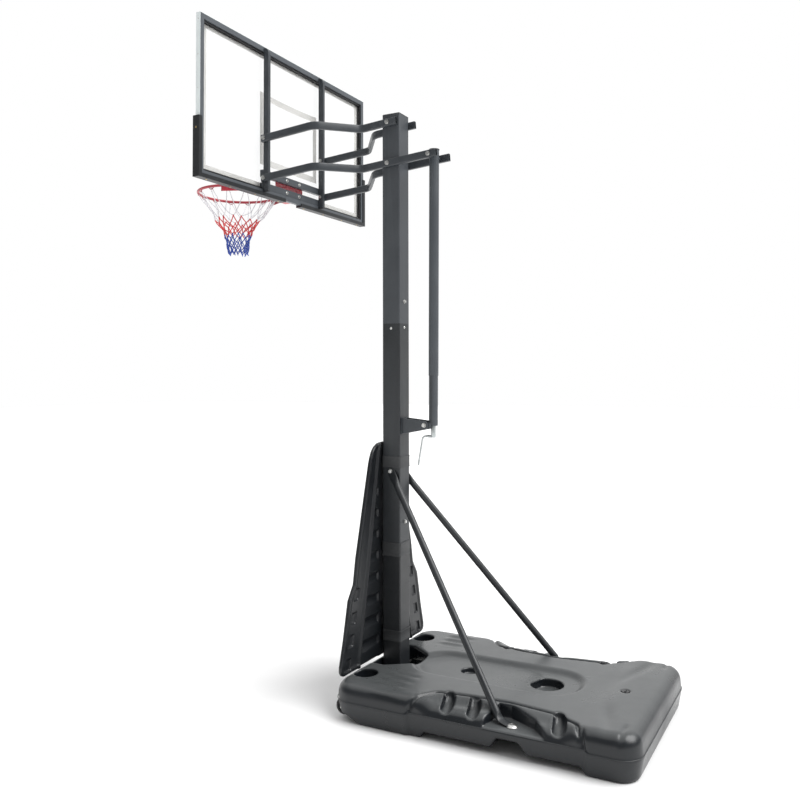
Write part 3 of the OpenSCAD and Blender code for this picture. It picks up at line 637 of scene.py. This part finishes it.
def tank_top(x, y):
    """Height of the tank's upper surface."""
    ax = np.abs(x)
    level = TOP_Z + 0.012 * smooth_step(1.10, 1.22, y)
    shoulder = polygon_2d(ax, y, SHOULDER) - SHOULDER_R
    level = level - 0.024 * smooth_step(-0.010, -0.085, shoulder)
    level = level - 0.016 * groove(shoulder + 0.001, 0.0075)
    runway = box_2d(x, y - 0.575, 0.178, 0.455, 0.172)
    level = level - 0.021 * smooth_step(0.004, -0.045, runway)
    ripple = smooth_step(0.10, 0.16, y) * smooth_step(0.30, 0.22, y) * smooth_step(0.20, 0.27, ax)
    level = level + 0.004 * ripple * np.sin(ax * 95)
    rear_dish = ((ax - 0.300) / 0.13) ** 2 + ((y - 1.215 - 0.25 * (ax - 0.3)) / 0.028) ** 2
    level = level - 0.010 * np.exp(-rear_dish)
    rear_fold = groove(y - 1.318, 0.010) * smooth_step(0.35, 0.40, ax)
    return level - 0.006 * rear_fold


def tank_bottom(x, y):
    """Height of the tank's underside: two ground pads, with raised spans and a notch between."""
    span = smooth_step(0.387, 0.415, y) * smooth_step(1.170, 1.145, y)
    notch = smooth_step(0.735, 0.780, y) * smooth_step(0.915, 0.868, y)
    chamfer = smooth_step(0.085, -0.02, y) * smooth_step(0.33, 0.37, np.abs(x))
    edge = smooth_step(0.16, 0.20, np.abs(x))
    return edge * (0.028 * span + 0.048 * notch) + 0.034 * chamfer


def pulled_in(y):
    """1 along the middle of the tank's sides, which stand in a little between the corners."""
    return smooth_step(0.322, 0.346, y) * smooth_step(1.182, 1.158, y)


def tank_field(x, y, z):
    ax = np.abs(x)
    seam = seam_height(y)
    below, above = np.maximum(seam - z, 0), np.maximum(z - seam, 0)
    outer = smooth_step(0.40, 0.44, ax)
    side = tank_outline(x, y) + 0.20 * below + 0.07 * above + 0.0035 * smooth_step(0, 0.003, z - seam)
    side = side + 0.007 * pulled_in(y) * outer
    lean = 0.3 * (z - SEAM)
    front_end, rear_end = SHOULDER_ENDS
    ends = groove(y - front_end - lean, 0.0075) + groove(y - rear_end + lean, 0.0075)
    side = side + 0.009 * ends * smooth_step(0.0, 0.012, z - seam) * outer
    shape = round_both(side, z - tank_top(x, y), EDGE_R)
    shape = round_both(shape, tank_bottom(x, y) - z, 0.014)
    for gill_y in GILLS:
        lean = y - gill_y - 0.25 * (ax - 0.43)
        gill = ellipsoid(ax, lean, z, (0.430, 0.0, 0.180), (0.092, 0.038, 0.050))
        shape = cut(shape, np.maximum(gill, -lean - 0.024), 0.006)
    tray = np.maximum(disc(x, y - TRAY_Y, TRAY_R), TRAY_Y - 0.050 - y - 0.35 * (x + 0.06))
    # Each pocket's outline, floor, and the radii of its lower corner and its brink
    pockets = (
        (polygon_2d(ax, y, SEAT), SEAT_Z, 0.006, 0.012),
        (polygon_2d(x, y, SOCKET), SOCKET_Z, 0.012, 0.016),
        (disc(ax - CUP_X, y, CUP_R), CUP_Z, 0.010, 0.010),
        (disc(x, y - WELL_Y, WELL_R), WELL_Z, 0.010, 0.008),
        (tray, TRAY_Z, 0.010, 0.008),
        (disc(x, y - FILL_Y, FILL_R), TOP_Z, 0.002, 0.003),
    )
    for outline, floor, corner, brink in pockets:
        shape = cut(shape, round_both(outline, floor - z, corner), brink)
    beside = np.abs(ax - WHEEL.x) - WHEEL_GAP / 2
    arch = np.maximum(beside, disc(y - WHEEL.y, z - WHEEL.z, WHEEL_GAP))
    arch = np.minimum(arch, np.maximum(beside, np.maximum(y - WHEEL.y, z - WHEEL.z - 0.040)))
    return cut(shape, arch, 0.004)


def seam_line():
    """The thin flash line where the mould's halves met, all round the tank."""
    outline = []
    inset = 0.0015
    quarters = ((1, -1, FRONT_R, -90), (1, 1, REAR_R, 0), (-1, 1, REAR_R, 90), (-1, -1, FRONT_R, 180))
    for sx, sy, radius, start in quarters:
        cx, cy = sx * (TANK_HALF - radius), TANK_MID + sy * (TANK_HALF_L - radius)
        reach = radius - inset
        for a in range(0, 91, 10):
            t = math.radians(start + a)
            outline.append((cx + reach * math.cos(t), cy + reach * math.sin(t), 0))
    outline.append(outline[0])
    path = resample(outline, 0.012)[:-1]
    for p in path:
        if abs(p[0]) > 0.44:
            p[0] -= math.copysign(0.007 * float(pulled_in(p[1])), p[0])
        p[2] = seam_height(p[1])
    points, faces = sweep(path, circle(0.0019, 6), closed=True)
    return new_piece("tank_seam", points, faces, base_plastic, "stand")


def make_base():
    step = 0.006
    tank = moulded_piece("tank_shell", tank_field, tank_low, tank_high, step, base_plastic, "stand")
    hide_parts("base_tank")
    seam_line()


# ---- pole shield

shield_low, shield_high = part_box("pole_shield")
SHIELD_BACK = shield_high.y
SHIELD_HALF = [(0.0, 1.308), (0.036, 1.307), (0.075, 1.302), (0.108, 1.286), (0.132, 1.262), (0.148, 1.230),
               (0.158, 1.205), (0.284, 0.729), (0.306, 0.607), (0.355, 0.536), (0.397, 0.351), (0.431, 0.228),
               (0.431, 0.205), (0.420, 0.187), (0.402, 0.180), (0.0, 0.180)]
RIDGE = [(0.275, 0.17), (0.171, 0.711), (0.062, 1.32)]
POCKETS = [(0.281, 0.552), (0.309, 0.440), (0.334, 0.333), (0.360, 0.223)]
RIB_PITCH = 0.110
SHIELD_T = 0.026


def line_distance(x, z, corners):
    best = np.full(np.broadcast(x, z).shape, 1e9)
    for (ax, az), (bx, bz) in zip(corners, corners[1:]):
        ex, ez = bx - ax, bz - az
        t = np.clip(((x - ax) * ex + (z - az) * ez) / (ex * ex + ez * ez), 0, 1)
        best = np.minimum(best, (x - ax - ex * t) ** 2 + (z - az - ez * t) ** 2)
    return np.sqrt(best)


def shield_field(x, y, z):
    """A double-walled panel: a rolled rim, a ridge down each wing, ribs between the ridges and the
    pole, and a row of square pockets near each edge."""
    ax = np.abs(x)
    outline = polygon_2d(ax, z, SHIELD_HALF)
    depth = SHIELD_BACK - y
    ridge = line_distance(ax, z, RIDGE)
    past_ridge = ax - np.interp(z, [p[1] for p in RIDGE], [p[0] for p in RIDGE])
    inner = smooth_step(0.004, -0.010, past_ridge)
    back = 0.006 + 0.005 * smooth_step(-0.018, -0.026, outline) * (1 - inner)
    back = back + 0.004 * inner
    back = back - 0.012 * groove(ridge, 0.0085)
    rib = np.exp(-((z % RIB_PITCH - RIB_PITCH / 2) / 0.022) ** 4) * smooth_step(0.070, 0.080, ax)
    back = back + 0.010 * inner * rib * smooth_step(-0.004, -0.016, past_ridge + 0.013)
    panel_groove = groove(z % (2 * RIB_PITCH) - RIB_PITCH, 0.010) * smooth_step(-0.05, -0.08, outline)
    front = SHIELD_T - 0.004 * panel_groove
    shape = round_both(outline, np.maximum(back - depth, depth - front), 0.006)
    for px, pz in POCKETS:
        pocket = box_2d(ax - px + 0.22 * (z - pz), z - pz, 0.020, 0.027, 0.004)
        shape = cut(shape, np.maximum(pocket, depth - 0.019), 0.002)
    return shape


def make_shield():
    step = 0.005
    box = (shield_low, shield_high)
    shield = moulded_piece("shield_panel", shield_field, *box, step, shield_plastic, "stand")
    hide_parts("pole_shield")


# ---- bent and flattened tubes

ARM_H, ARM_T, ARM_WALL = 0.040, 0.020, 0.002
ARM_INNER = 0.064                       # centre of the arms beside the pole
BEND_OUT, BEND_IN = -0.330, -0.165      # where the arms bend, from their pole bolts
TAILS = {"lower_arm_left": 0.292, "lower_arm_right": 0.306, "upper_arm_left": 0.052, "upper_arm_right": 0.098}


def bent_arm(node, body):
    """A rectangular tube with two bends, its walls drawn in and swollen where it was bent."""
    low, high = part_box(node)
    side = 1 if high.x > 0 else -1
    lower_pin = Vector(joint["lift"]["pos_m"])
    board_pin = Vector(joint["board_pivot"]["pos_m"])
    pin = Vector(joint["upper_arm_pivot"]["pos_m"]) if node.startswith("upper") else lower_pin
    reach = (board_pin - lower_pin).length
    tilt = math.atan2(lower_pin.z - board_pin.z, lower_pin.y - board_pin.y)
    outer = max(abs(low.x), abs(high.x)) - ARM_T / 2
    corners = [(outer, -reach - 0.017, 0), (outer, BEND_OUT, 0)]
    corners += [(ARM_INNER, BEND_IN, 0), (ARM_INNER, TAILS[node], 0)]
    path = rounded_path(corners, 0.030, 10, 0.008)
    bends = [np.array(c[:2]) for c in corners[1:3]]

    def section(i, shrink=0.0):
        here = path[i][:2]
        crush = max(math.exp(-(np.linalg.norm(here - b) / 0.028) ** 2) for b in bends)
        width = ARM_T * (1 - 0.34 * crush) - 2 * shrink
        height = ARM_H * (1 + 0.07 * crush) - 2 * shrink
        return round_rect(width, height, 0.0042 - shrink * 0.8, 4)

    outside, faces = sweep(path, section, first_side=(1, 0, 0), caps=False)
    inside, _ = sweep(path, lambda i: section(i, ARM_WALL), first_side=(1, 0, 0), caps=False)
    count, sides = len(path), len(section(0))
    start = len(outside)
    faces = turned(faces)
    faces += [tuple(start + i for i in reversed(f)) for f in faces[:]]
    for i in (0, count - 1):
        for j in range(sides):
            k = (j + 1) % sides
            quad = (i * sides + j, i * sides + k, start + i * sides + k, start + i * sides + j)
            faces.append(quad if i else tuple(reversed(quad)))
    points = []
    for p in outside + inside:
        x, y, z = p[0] * side, p[1], p[2]
        along = pin.y + y * math.cos(tilt) - z * math.sin(tilt)
        height = pin.z + y * math.sin(tilt) + z * math.cos(tilt)
        points.append((x, along, height))
    if side < 0:
        faces = turned(faces)
    arm = new_piece(node + "_tube", points, faces, steel, body)
    smooth_by_angle(arm, 50)
    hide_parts(node)


STRUT_HEAD = np.array((0.0560, 0, 1.154))
STRUT_FOOT = np.array((0.416, 0.770, 0.124))
STRUT_TAIL = np.array((0.434, 0.852, 0.1155))
STRUT_R, STRUT_FLAT = 0.017, 0.0028     # half thicknesses, round and pressed flat


def flattened_strut(node, side):
    """A round tube pressed flat at both ends, the lower end bent level under its bolt."""
    run = unit(STRUT_FOOT - STRUT_HEAD)
    corners = [STRUT_HEAD - run * 0.020, STRUT_FOOT - run * 0.012, STRUT_TAIL]
    path = rounded_path(corners, 0.020, 8, 0.012)
    total = np.linalg.norm(np.diff(path, axis=0), axis=1).sum()
    along = np.linspace(0, total, len(path))
    sides = 24

    def section(i):
        near_head = smooth_step(0.050, 0.125, along[i])
        near_foot = smooth_step(0.080, 0.125, total - along[i])
        round_part = float(min(near_head, near_foot))
        thin = STRUT_FLAT + (STRUT_R - STRUT_FLAT) * round_part
        wide = STRUT_R + 0.0055 * (1 - round_part)
        if along[i] < 0.004 or along[i] > total - 0.004:
            wide *= 0.7
        power = 0.62 + 0.38 * round_part
        outline = []
        for c, s in circle(1, sides):
            a = math.copysign(abs(c) ** power, c) * thin
            b = math.copysign(abs(s) ** power, s) * wide
            outline.append((a, b))
        return outline

    direction = path_frames(path)[0]
    outward, upward = np.array((1.0, 0, 0)), np.array((0, 0, 1.0))
    points = []
    for i, p in enumerate(path):
        turn = float(smooth_step(0.35, 0.85, along[i] / total))
        normal = outward * (1 - turn) + upward * turn
        normal = unit(normal - direction[i] * (normal @ direction[i]))
        across = np.cross(direction[i], normal)
        for a, b in section(i):
            q = p + normal * a + across * b
            points.append((q[0] * side, q[1], q[2]))
    faces = rings_to_faces(len(path), sides)
    if side < 0:
        faces = turned(faces)
    # The strut takes the darker painted-shade copy of the powder coat.
    strut = new_piece(node + "_tube", points, faces, shaded_steel, "stand")
    smooth_by_angle(strut, 60)
    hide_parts(node)


def make_tubes():
    for name in ("lower_arm_left", "lower_arm_right"):
        bent_arm(name, "lower_arms")
    for name in ("upper_arm_left", "upper_arm_right"):
        bent_arm(name, "upper_arms")
    flattened_strut("strut_left", 1)
    flattened_strut("strut_right", -1)


# ---- bolts

POLE_HALF = 0.0525


def dome_bolt(parts, place, axis, head, thick):
    """A round dome head with a small flange, standing on place and facing along axis."""
    dome = [(0.35, 0.96), (0.66, 0.78), (0.88, 0.45), (0.95, 0.18), (1, 0.12), (1, 0)]
    profile = [(HUB, thick), *((head * r, thick * h) for r, h in dome), (HUB, 0)]
    parts.add(*lathe(profile, 28, place, axis))


def make_bolt_domes():
    """Big dome washers over the strut feet, and dome heads on the pole's joint bolts."""
    domes = Parts()
    for side in (1, -1):
        dome_bolt(domes, (side * 0.428, 0.828, 0.1197), (0, 0, 1), 0.026, 0.009)
    domes.piece("strut_foot_domes", zinc, "stand")
    rivets = Parts()
    for x, y, z in ((1, 0, 1.912), (0, 1, 1.918), (-1, 0, 1.912)):
        dome_bolt(rivets, (x * POLE_HALF, y * POLE_HALF, z), (x, y, 0), 0.007, 0.003)
    rivets.piece("pole_rivets", zinc, "stand")


# ---- crank

CRANK_BORE, CRANK_R = 0.0082, 0.0125


def make_crank():
    """A socket on the screw's end with a cross stub, and a rod bent down from it."""
    foot = Vector(joint["crank_turn"]["pos_m"])
    socket = Parts()
    profile = [(CRANK_BORE, 0), (CRANK_R - 0.001, 0), (CRANK_R, -0.002), (CRANK_R, -0.062),
               (CRANK_R - 0.001, -0.064), (CRANK_BORE, -0.064)]
    socket.add(*lathe(profile, 32, foot, (0, 0, 1)))
    height = foot.z - 0.058
    neck = [(0, foot.y - 0.010, height), (0, foot.y - 0.034, height)]
    socket.add(*sweep(resample(neck, 0.004), circle(0.0070, 20), first_side=(1, 0, 0)))
    socket_piece = socket.piece("crank_socket", crank_zinc, "crank")
    smooth_by_angle(socket_piece, 40)
    rod = Parts()
    corners = [(0, foot.y - 0.030, height), (0, foot.y - 0.062, height), (0, foot.y - 0.089, height - 0.153)]
    path = rounded_path(corners, 0.020, 10, 0.004)
    rod.add(*sweep(path, circle(0.0048, 16), first_side=(1, 0, 0)))
    rod_piece = rod.piece("crank_rod", crank_zinc, "crank")
    smooth_by_angle(rod_piece, 50)
    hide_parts("crank_handle")


# ---- board

panel_low, panel_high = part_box("board_panel")
FRAME_W = 0.0265


def flat_ring(outer, inner, y0, y1):
    """A flat closed band between two outlines with as many (x, z) corners, from y0 to y1."""
    points = [(x, y, z) for y in (y0, y1) for x, z in outer + inner]
    count = len(outer)
    a, b = 2 * count, count
    faces = []
    for j in range(count):
        k = (j + 1) % count
        faces += [(j, k, b + k, b + j), (a + k, a + j, a + b + j, a + b + k)]
        faces += [(k, j, a + j, a + k), (b + j, b + k, a + b + k, a + b + j)]
    return points, faces


def rectangle(x0, z0, x1, z1):
    return [(x0, z0), (x1, z0), (x1, z1), (x0, z1)]


BORDER = 0.690, 2.729, 3.427                # the printed border's inside: half width, foot, top
TARGET = 0.265, 2.834, 3.231                # the printed target: half width, foot, top
TARGET_BAND = 0.034
FILM_T = 0.0003


def target_outline(half, foot, top, sag):
    """The target's outline, its top line drawn down a little in the middle."""
    line = [(x, top + sag * (x / half) ** 2) for x in np.linspace(-half, half, 25)]
    return line + [(half, foot), (-half, foot)]


def make_print():
    """The pale border and the target's lines, printed on the panel's face."""
    back = panel_low.y - 0.0001
    front = back - FILM_T
    half, foot, top = BORDER
    margin = 0.004
    edge = rectangle(panel_low.x + margin, panel_low.z + margin, panel_high.x - margin, panel_high.z - margin)
    border = Parts()
    border.add(*flat_ring(edge, rectangle(-half, foot, half, top), front, back))
    half, foot, top = TARGET
    outside = target_outline(half, foot, top, 0.008)
    inside = target_outline(half - TARGET_BAND, foot + 0.035, top - 0.033, 0.006)
    target = Parts()
    target.add(*flat_ring(outside[::-1], inside[::-1], front, back))
    for name, parts in (("border_print", border), ("target_print", target)):
        parts.piece(name, printed, "board", smooth=False)


def make_bead():
    """The black glazing bead between the frame bars and the clear panel, in two steps."""
    x, z0, z1 = panel_high.x - FRAME_W, panel_low.z + FRAME_W, panel_high.z - FRAME_W
    gap = 0.0002
    outer = rectangle(-x + gap, z0 + gap, x - gap, z1 - gap)
    bead = Parts()
    for wide, thick in ((0.0100, 0.0140), (0.0145, 0.0060)):
        inner = rectangle(-x + wide, z0 + wide, x - wide, z1 - wide)
        bead.add(*flat_ring(outer, inner, panel_high.y + gap, panel_high.y + thick))
    piece = bead.piece("glazing_bead", black_plastic, "board", smooth=False)
    bevel(piece, 0.0015, 2)


SUPPORT_TOP_R = 0.028
PLUG_T = 0.003


def make_supports():
    """Uprights with their tops rounded over towards the frame, and a plug in each foot."""
    plugs = Parts()
    for node in ("support_left", "support_right"):
        low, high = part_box(node)
        outline = [(low.y, low.z), (high.y, low.z)]
        for a in range(0, 91, 10):
            t = math.radians(a)
            y = high.y - SUPPORT_TOP_R * (1 - math.cos(t))
            outline.append((y, high.z - SUPPORT_TOP_R * (1 - math.sin(t))))
        outline.append((low.y, high.z))
        points = [(x, y, z) for x in (low.x, high.x) for y, z in outline]
        faces = rings_to_faces(2, len(outline))
        piece = new_piece(node + "_bar", points, faces, steel, "board", smooth=False)
        bevel(piece, 0.0022, 3, 50)
        smooth_by_angle(piece, 30)
        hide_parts(node)
        middle = (low + high) / 2
        foot = round_rect(high.x - low.x, high.y - low.y, 0.003, 4)
        points = [(middle.x + a, middle.y + b, z) for z in (low.z - PLUG_T, low.z) for a, b in foot]
        plugs.add(points, rings_to_faces(2, len(foot)))
    piece = plugs.piece("support_foot_plugs", black_plastic, "board", smooth=False)
    bevel(piece, 0.0008, 2)
    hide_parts("support_plugs")


def make_trim_screws():
    """Small countersunk screws down the aluminium trim."""
    screws = Parts()
    low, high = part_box("board_trim")
    y = (low.y + high.y) / 2
    for side in (1, -1):
        for z in (3.45, 3.27, 3.10):
            dome_bolt(screws, (side * (high.x - 0.0002), y, z), (side, 0, 0), 0.0035, 0.0012)
    for x in np.linspace(-0.66, 0.66, 6):
        dome_bolt(screws, (x, y, high.z - 0.0002), (0, 0, 1), 0.0035, 0.0012)
    screws.piece("trim_screws", zinc, "board")


# ---- pads

def make_pads():
    """Soft moulded channels over the board's lower corners."""
    for node in ("pad_left", "pad_right"):
        piece = nodes[node]
        piece.data.materials.clear()
        piece.data.materials.append(pad_rubber)
        bevel(piece, 0.0045, 4, 40)
        piece.data.shade_smooth()
        weighted = piece.modifiers.new("weighted_normal", "WEIGHTED_NORMAL")
        weighted.keep_sharp = True


# ---- rim and net

ring_low, ring_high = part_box("rim_frame")
RING_R, RING_BAR = 0.233, 0.016
RING = np.array((0, ring_low.y + RING_R + RING_BAR / 2, ring_high.z - RING_BAR / 2))
HOOKS = 14
HOOK_ANGLES = [2 * math.pi * i / HOOKS for i in range(HOOKS)]


def round_ring(angle):
    """The directions out from the ring's centre and along the ring."""
    c, s = math.cos(angle), math.sin(angle)
    return np.array((c, s, 0)), np.array((-s, c, 0))


def make_hooks():
    """A bent wire hook under the ring for each loop of the net."""
    hooks = Parts()
    shape = [(-0.017, -0.0068), (-0.0085, -0.0150), (0.0, -0.0178), (0.0085, -0.0150), (0.017, -0.0068)]
    for angle in HOOK_ANGLES:
        out, along = round_ring(angle)
        start = RING + out * (RING_R - 0.001)
        corners = [start + np.array((0, 0, rise)) + along * side for side, rise in shape]
        path = rounded_path(corners, 0.0045, 5, 0.0025)
        hooks.add(*sweep(path, circle(0.0021, 8), first_side=tuple(out)))
    piece = hooks.piece("net_wire_hooks", rim_paint, "rim")
    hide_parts("net_hooks")


# Heights and radii of the net's rows of knots, from the hooks down
NET_ROWS = [(2.7420, 0.2290), (2.6320, 0.1530), (2.5980, 0.1270), (2.5670, 0.1070), (2.5360, 0.0885),
            (2.5060, 0.0785), (2.4780, 0.0705), (2.4510, 0.0640), (2.4240, 0.0605), (2.4000, 0.0575)]
ROW_COLOURS = ["white"] * 2 + ["red"] * 3 + ["blue"] * 5
CORD_R = {"white": 0.0023, "red": 0.0030, "blue": 0.0027}
KNOT_R = 0.0052
LOOP_HALF = 0.006       # half width of a loop of cord over its hook
NET_SEED = 11


def place_knots(rng):
    """Where each knot hangs: even on the hooks, and a little astray below them."""
    knots = {}
    for row, (z, radius) in enumerate(NET_ROWS):
        loose = 0.0 if row == 0 else 1.0
        for i in range(HOOKS):
            angle = 2 * math.pi * (i + 0.5 * (row % 2)) / HOOKS + loose * rng.uniform(-0.085, 0.085)
            r = radius * (1 + loose * rng.uniform(-0.07, 0.05))
            height = z + loose * rng.uniform(-0.009, 0.009)
            knots[row, i] = np.array((r * math.cos(angle), RING[1] + r * math.sin(angle), height))
    return knots


def slack_cord(start, end, slack, sag):
    """A cord from start to end that bows outward by slack and hangs down by sag."""
    middle = (start + end) / 2
    out = unit(middle - np.array((0, RING[1], middle[2])))
    middle = middle + out * slack - np.array((0, 0, sag))
    ts = np.linspace(0, 1, 9)[:, None]
    return (1 - ts) ** 2 * start + 2 * ts * (1 - ts) * middle + ts ** 2 * end


def make_net():
    """Two sets of cords run down the net, one winding each way, and are knotted where they meet."""
    rng = random.Random(NET_SEED)
    knots = place_knots(rng)
    parts = {c: Parts() for c in CORD_R}
    lowest = len(NET_ROWS) - 1
    for row, colour in enumerate(ROW_COLOURS[:lowest]):
        for i in range(HOOKS):
            for way in (0, 1):
                other = (i - 1 + way) % HOOKS if row % 2 == 0 else (i + way) % HOOKS
                slack = (0.004 if way else -0.003) + rng.uniform(-0.003, 0.003)
                sag = 0.003 + 0.006 * rng.random()
                start = knots[row, i]
                path = slack_cord(start, knots[row + 1, other], slack, sag)
                if row == 0:
                    aside = round_ring(HOOK_ANGLES[i])[1] * (LOOP_HALF if way else -LOOP_HALF)
                    path = path + aside * (1 - np.linspace(0, 1, 9)[:, None]) ** 2
                parts[colour].add(*sweep(path, circle(CORD_R[colour], 8)))
    rise = [(-LOOP_HALF, 0.0), (-0.0045, 0.0035), (0.0, 0.0048), (0.0045, 0.0035), (LOOP_HALF, 0.0)]
    for i, angle in enumerate(HOOK_ANGLES):
        along = round_ring(angle)[1]
        loop = [knots[0, i] + along * a + np.array((0, 0, b)) for a, b in rise]
        parts["white"].add(*sweep(loop, circle(CORD_R["white"], 8)))
    ball = [(0.0003, 1), (0.75 * KNOT_R, 0.62), (KNOT_R, 0), (0.75 * KNOT_R, -0.62), (0.0003, -1)]
    profile = [(r, h * KNOT_R) for r, h in ball]
    for (row, i), place in knots.items():
        if row > 0:
            parts[ROW_COLOURS[row]].add(*lathe(profile, 10, place, (0, 0, 1)))
    for i in range(HOOKS):
        tail = knots[lowest, i]
        end = tail + np.array((rng.uniform(-0.006, 0.006), rng.uniform(-0.006, 0.006), -0.0105))
        parts["blue"].add(*sweep(resample([tail, end], 0.004), circle(CORD_R["blue"], 8)))
    for colour, made in parts.items():
        piece = made.piece("net_" + colour, cords[colour], "rim")
        if colour == "white":
            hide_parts("net")


SPRING_TURNS, SPRING_WIRE, SPRING_R = 6, 0.0017, 0.0102


def make_springs():
    """A coil spring round each rubber core, under the rim's neck plate."""
    low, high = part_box("rim_springs")
    y = (low.y + high.y) / 2
    z0, z1 = low.z + SPRING_WIRE, high.z - SPRING_WIRE
    core_profile = [(HUB, 0), (0.0070, 0), (0.0080, 0.002), (0.0080, 0.034), (0.0066, 0.037), (HUB, 0.037)]
    coils, cores = Parts(), Parts()
    for side in (1, -1):
        x = side * (high.x - 0.012)
        path = []
        for t in np.linspace(0, 1, SPRING_TURNS * 18):
            turn = 2 * math.pi * SPRING_TURNS * t
            path.append((x + SPRING_R * math.cos(turn), y + SPRING_R * math.sin(turn), z0 + (z1 - z0) * t))
        coils.add(*sweep(path, circle(SPRING_WIRE, 8)))
        cores.add(*lathe(core_profile, 24, (x, y, low.z), (0, 0, 1)))
    piece = coils.piece("rim_coil_springs", zinc, "board")
    core = cores.piece("rim_spring_cores", wheel_rubber, "board")
    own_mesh(piece)
    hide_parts("rim_springs")


# ---- wheels

def make_wheels():
    """Solid wheels with a ribbed tread, a dished web and a hub."""
    for node in ("wheel_left", "wheel_right"):
        low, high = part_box(node)
        place = (low + high) / 2
        r = (high.z - low.z) / 2
        hub = [(0.0062, 0.018), (0.0120, 0.018), (0.0128, 0.0165), (0.0135, 0.010)]
        rim = [(r - 0.013, 0.0085), (r - 0.0115, 0.0145), (r - 0.004, 0.0145), (r - 0.0010, 0.0125)]
        tread = [(r, 0.0110), (r, 0.0070), (r - 0.0025, 0.0060), (r - 0.0025, 0.0040), (r, 0.0030)]
        half = hub + rim + tread + [(r, 0.0005)]
        points, faces = lathe(half + [(a, -b) for a, b in reversed(half)], 64, place, (1, 0, 0))
        wheel = new_piece(node + "_tyre", points, faces, wheel_rubber, node)
        smooth_by_angle(wheel, 40)
        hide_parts(node)


# ---- straps

STRAPS = ((0.264, 0.322), (0.708, 0.781), (1.174, 1.234))     # their lower and upper edges


def make_straps():
    """Moulded straps round the pole, each with a raised rib along its edges."""
    parts = Parts()
    for z0, z1 in STRAPS:
        foot = [(z0, 0.0), (z0, 0.0028), (z0 + 0.004, 0.0036), (z0 + 0.008, 0.0022)]
        levels = foot + [(z0 + z1 - z, proud) for z, proud in reversed(foot)]
        points = []
        for z, proud in levels:
            width = 2 * (POLE_HALF + 0.0003 + proud)
            outline = round_rect(width, width, 0.0075 + proud, 6)
            points += [(a, b, z) for a, b in outline]
        parts.add(points, rings_to_faces(len(levels), len(outline), closed=True))
    piece = parts.piece("shield_strap_bands", strap_nylon, "stand")
    smooth_by_angle(piece, 45)
    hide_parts("shield_straps")


# ---- carried-over CAD nodes

BARS = ["frame_top", "frame_bottom", "frame_left", "frame_right", "rail_upper", "rail_lower"]
BOLTS = ["strut_top_bolt", "strut_foot_bolts", "pole_bolts", "bracket_bolts", "jack_foot_bolt",
         "jack_top_bolt", "arm_pivot_bolts", "board_pivot_bolts", "rim_bolts", "rim_hinge_pin"]
LOOKS = {
    pole_steel: ["pole_upper"],
    # The pole's middle and foot take the darker painted-shade copies of the same powder coat.
    shaded_steel: ["pole_middle"],
    deep_shaded_steel: ["pole_lower"],
    steel: BARS + ["jack_bracket", "jack_inner_tube", "jack_outer_tube", "jack_sleeve"],
    black_plastic: ["fill_plug", "pole_cap", "jack_cap"],
    zinc: BOLTS + ["wheel_axles", "pole_foot_pin", "jack_bearing", "jack_screw", "arm_washers"],
    brass: ["jack_nut", "pad_rivets"],
    anodised: ["board_trim"],
    panel: ["board_panel"],
    rim_paint: ["rim_mount", "rim_frame"],
}
SOFTENED = {
    0.0018: BARS,
    0.0012: ["jack_bracket", "rim_mount", "pole_cap", "jack_cap", "fill_plug"],
    0.0006: BOLTS,
}


def dress_nodes():
    for mat, names in LOOKS.items():
        for name in names:
            mesh = nodes[name].data
            mesh.materials.clear()
            mesh.materials.append(mat)
    for width, names in SOFTENED.items():
        for name in names:
            bevel(nodes[name], width, 2, 40)


make_camera()
make_world()
make_floor()
dress_nodes()
make_base()
make_shield()
make_tubes()
make_bolt_domes()
make_crank()
make_print()
make_bead()
make_supports()
make_trim_screws()
make_pads()
make_hooks()
make_net()
make_springs()
make_wheels()
make_straps()
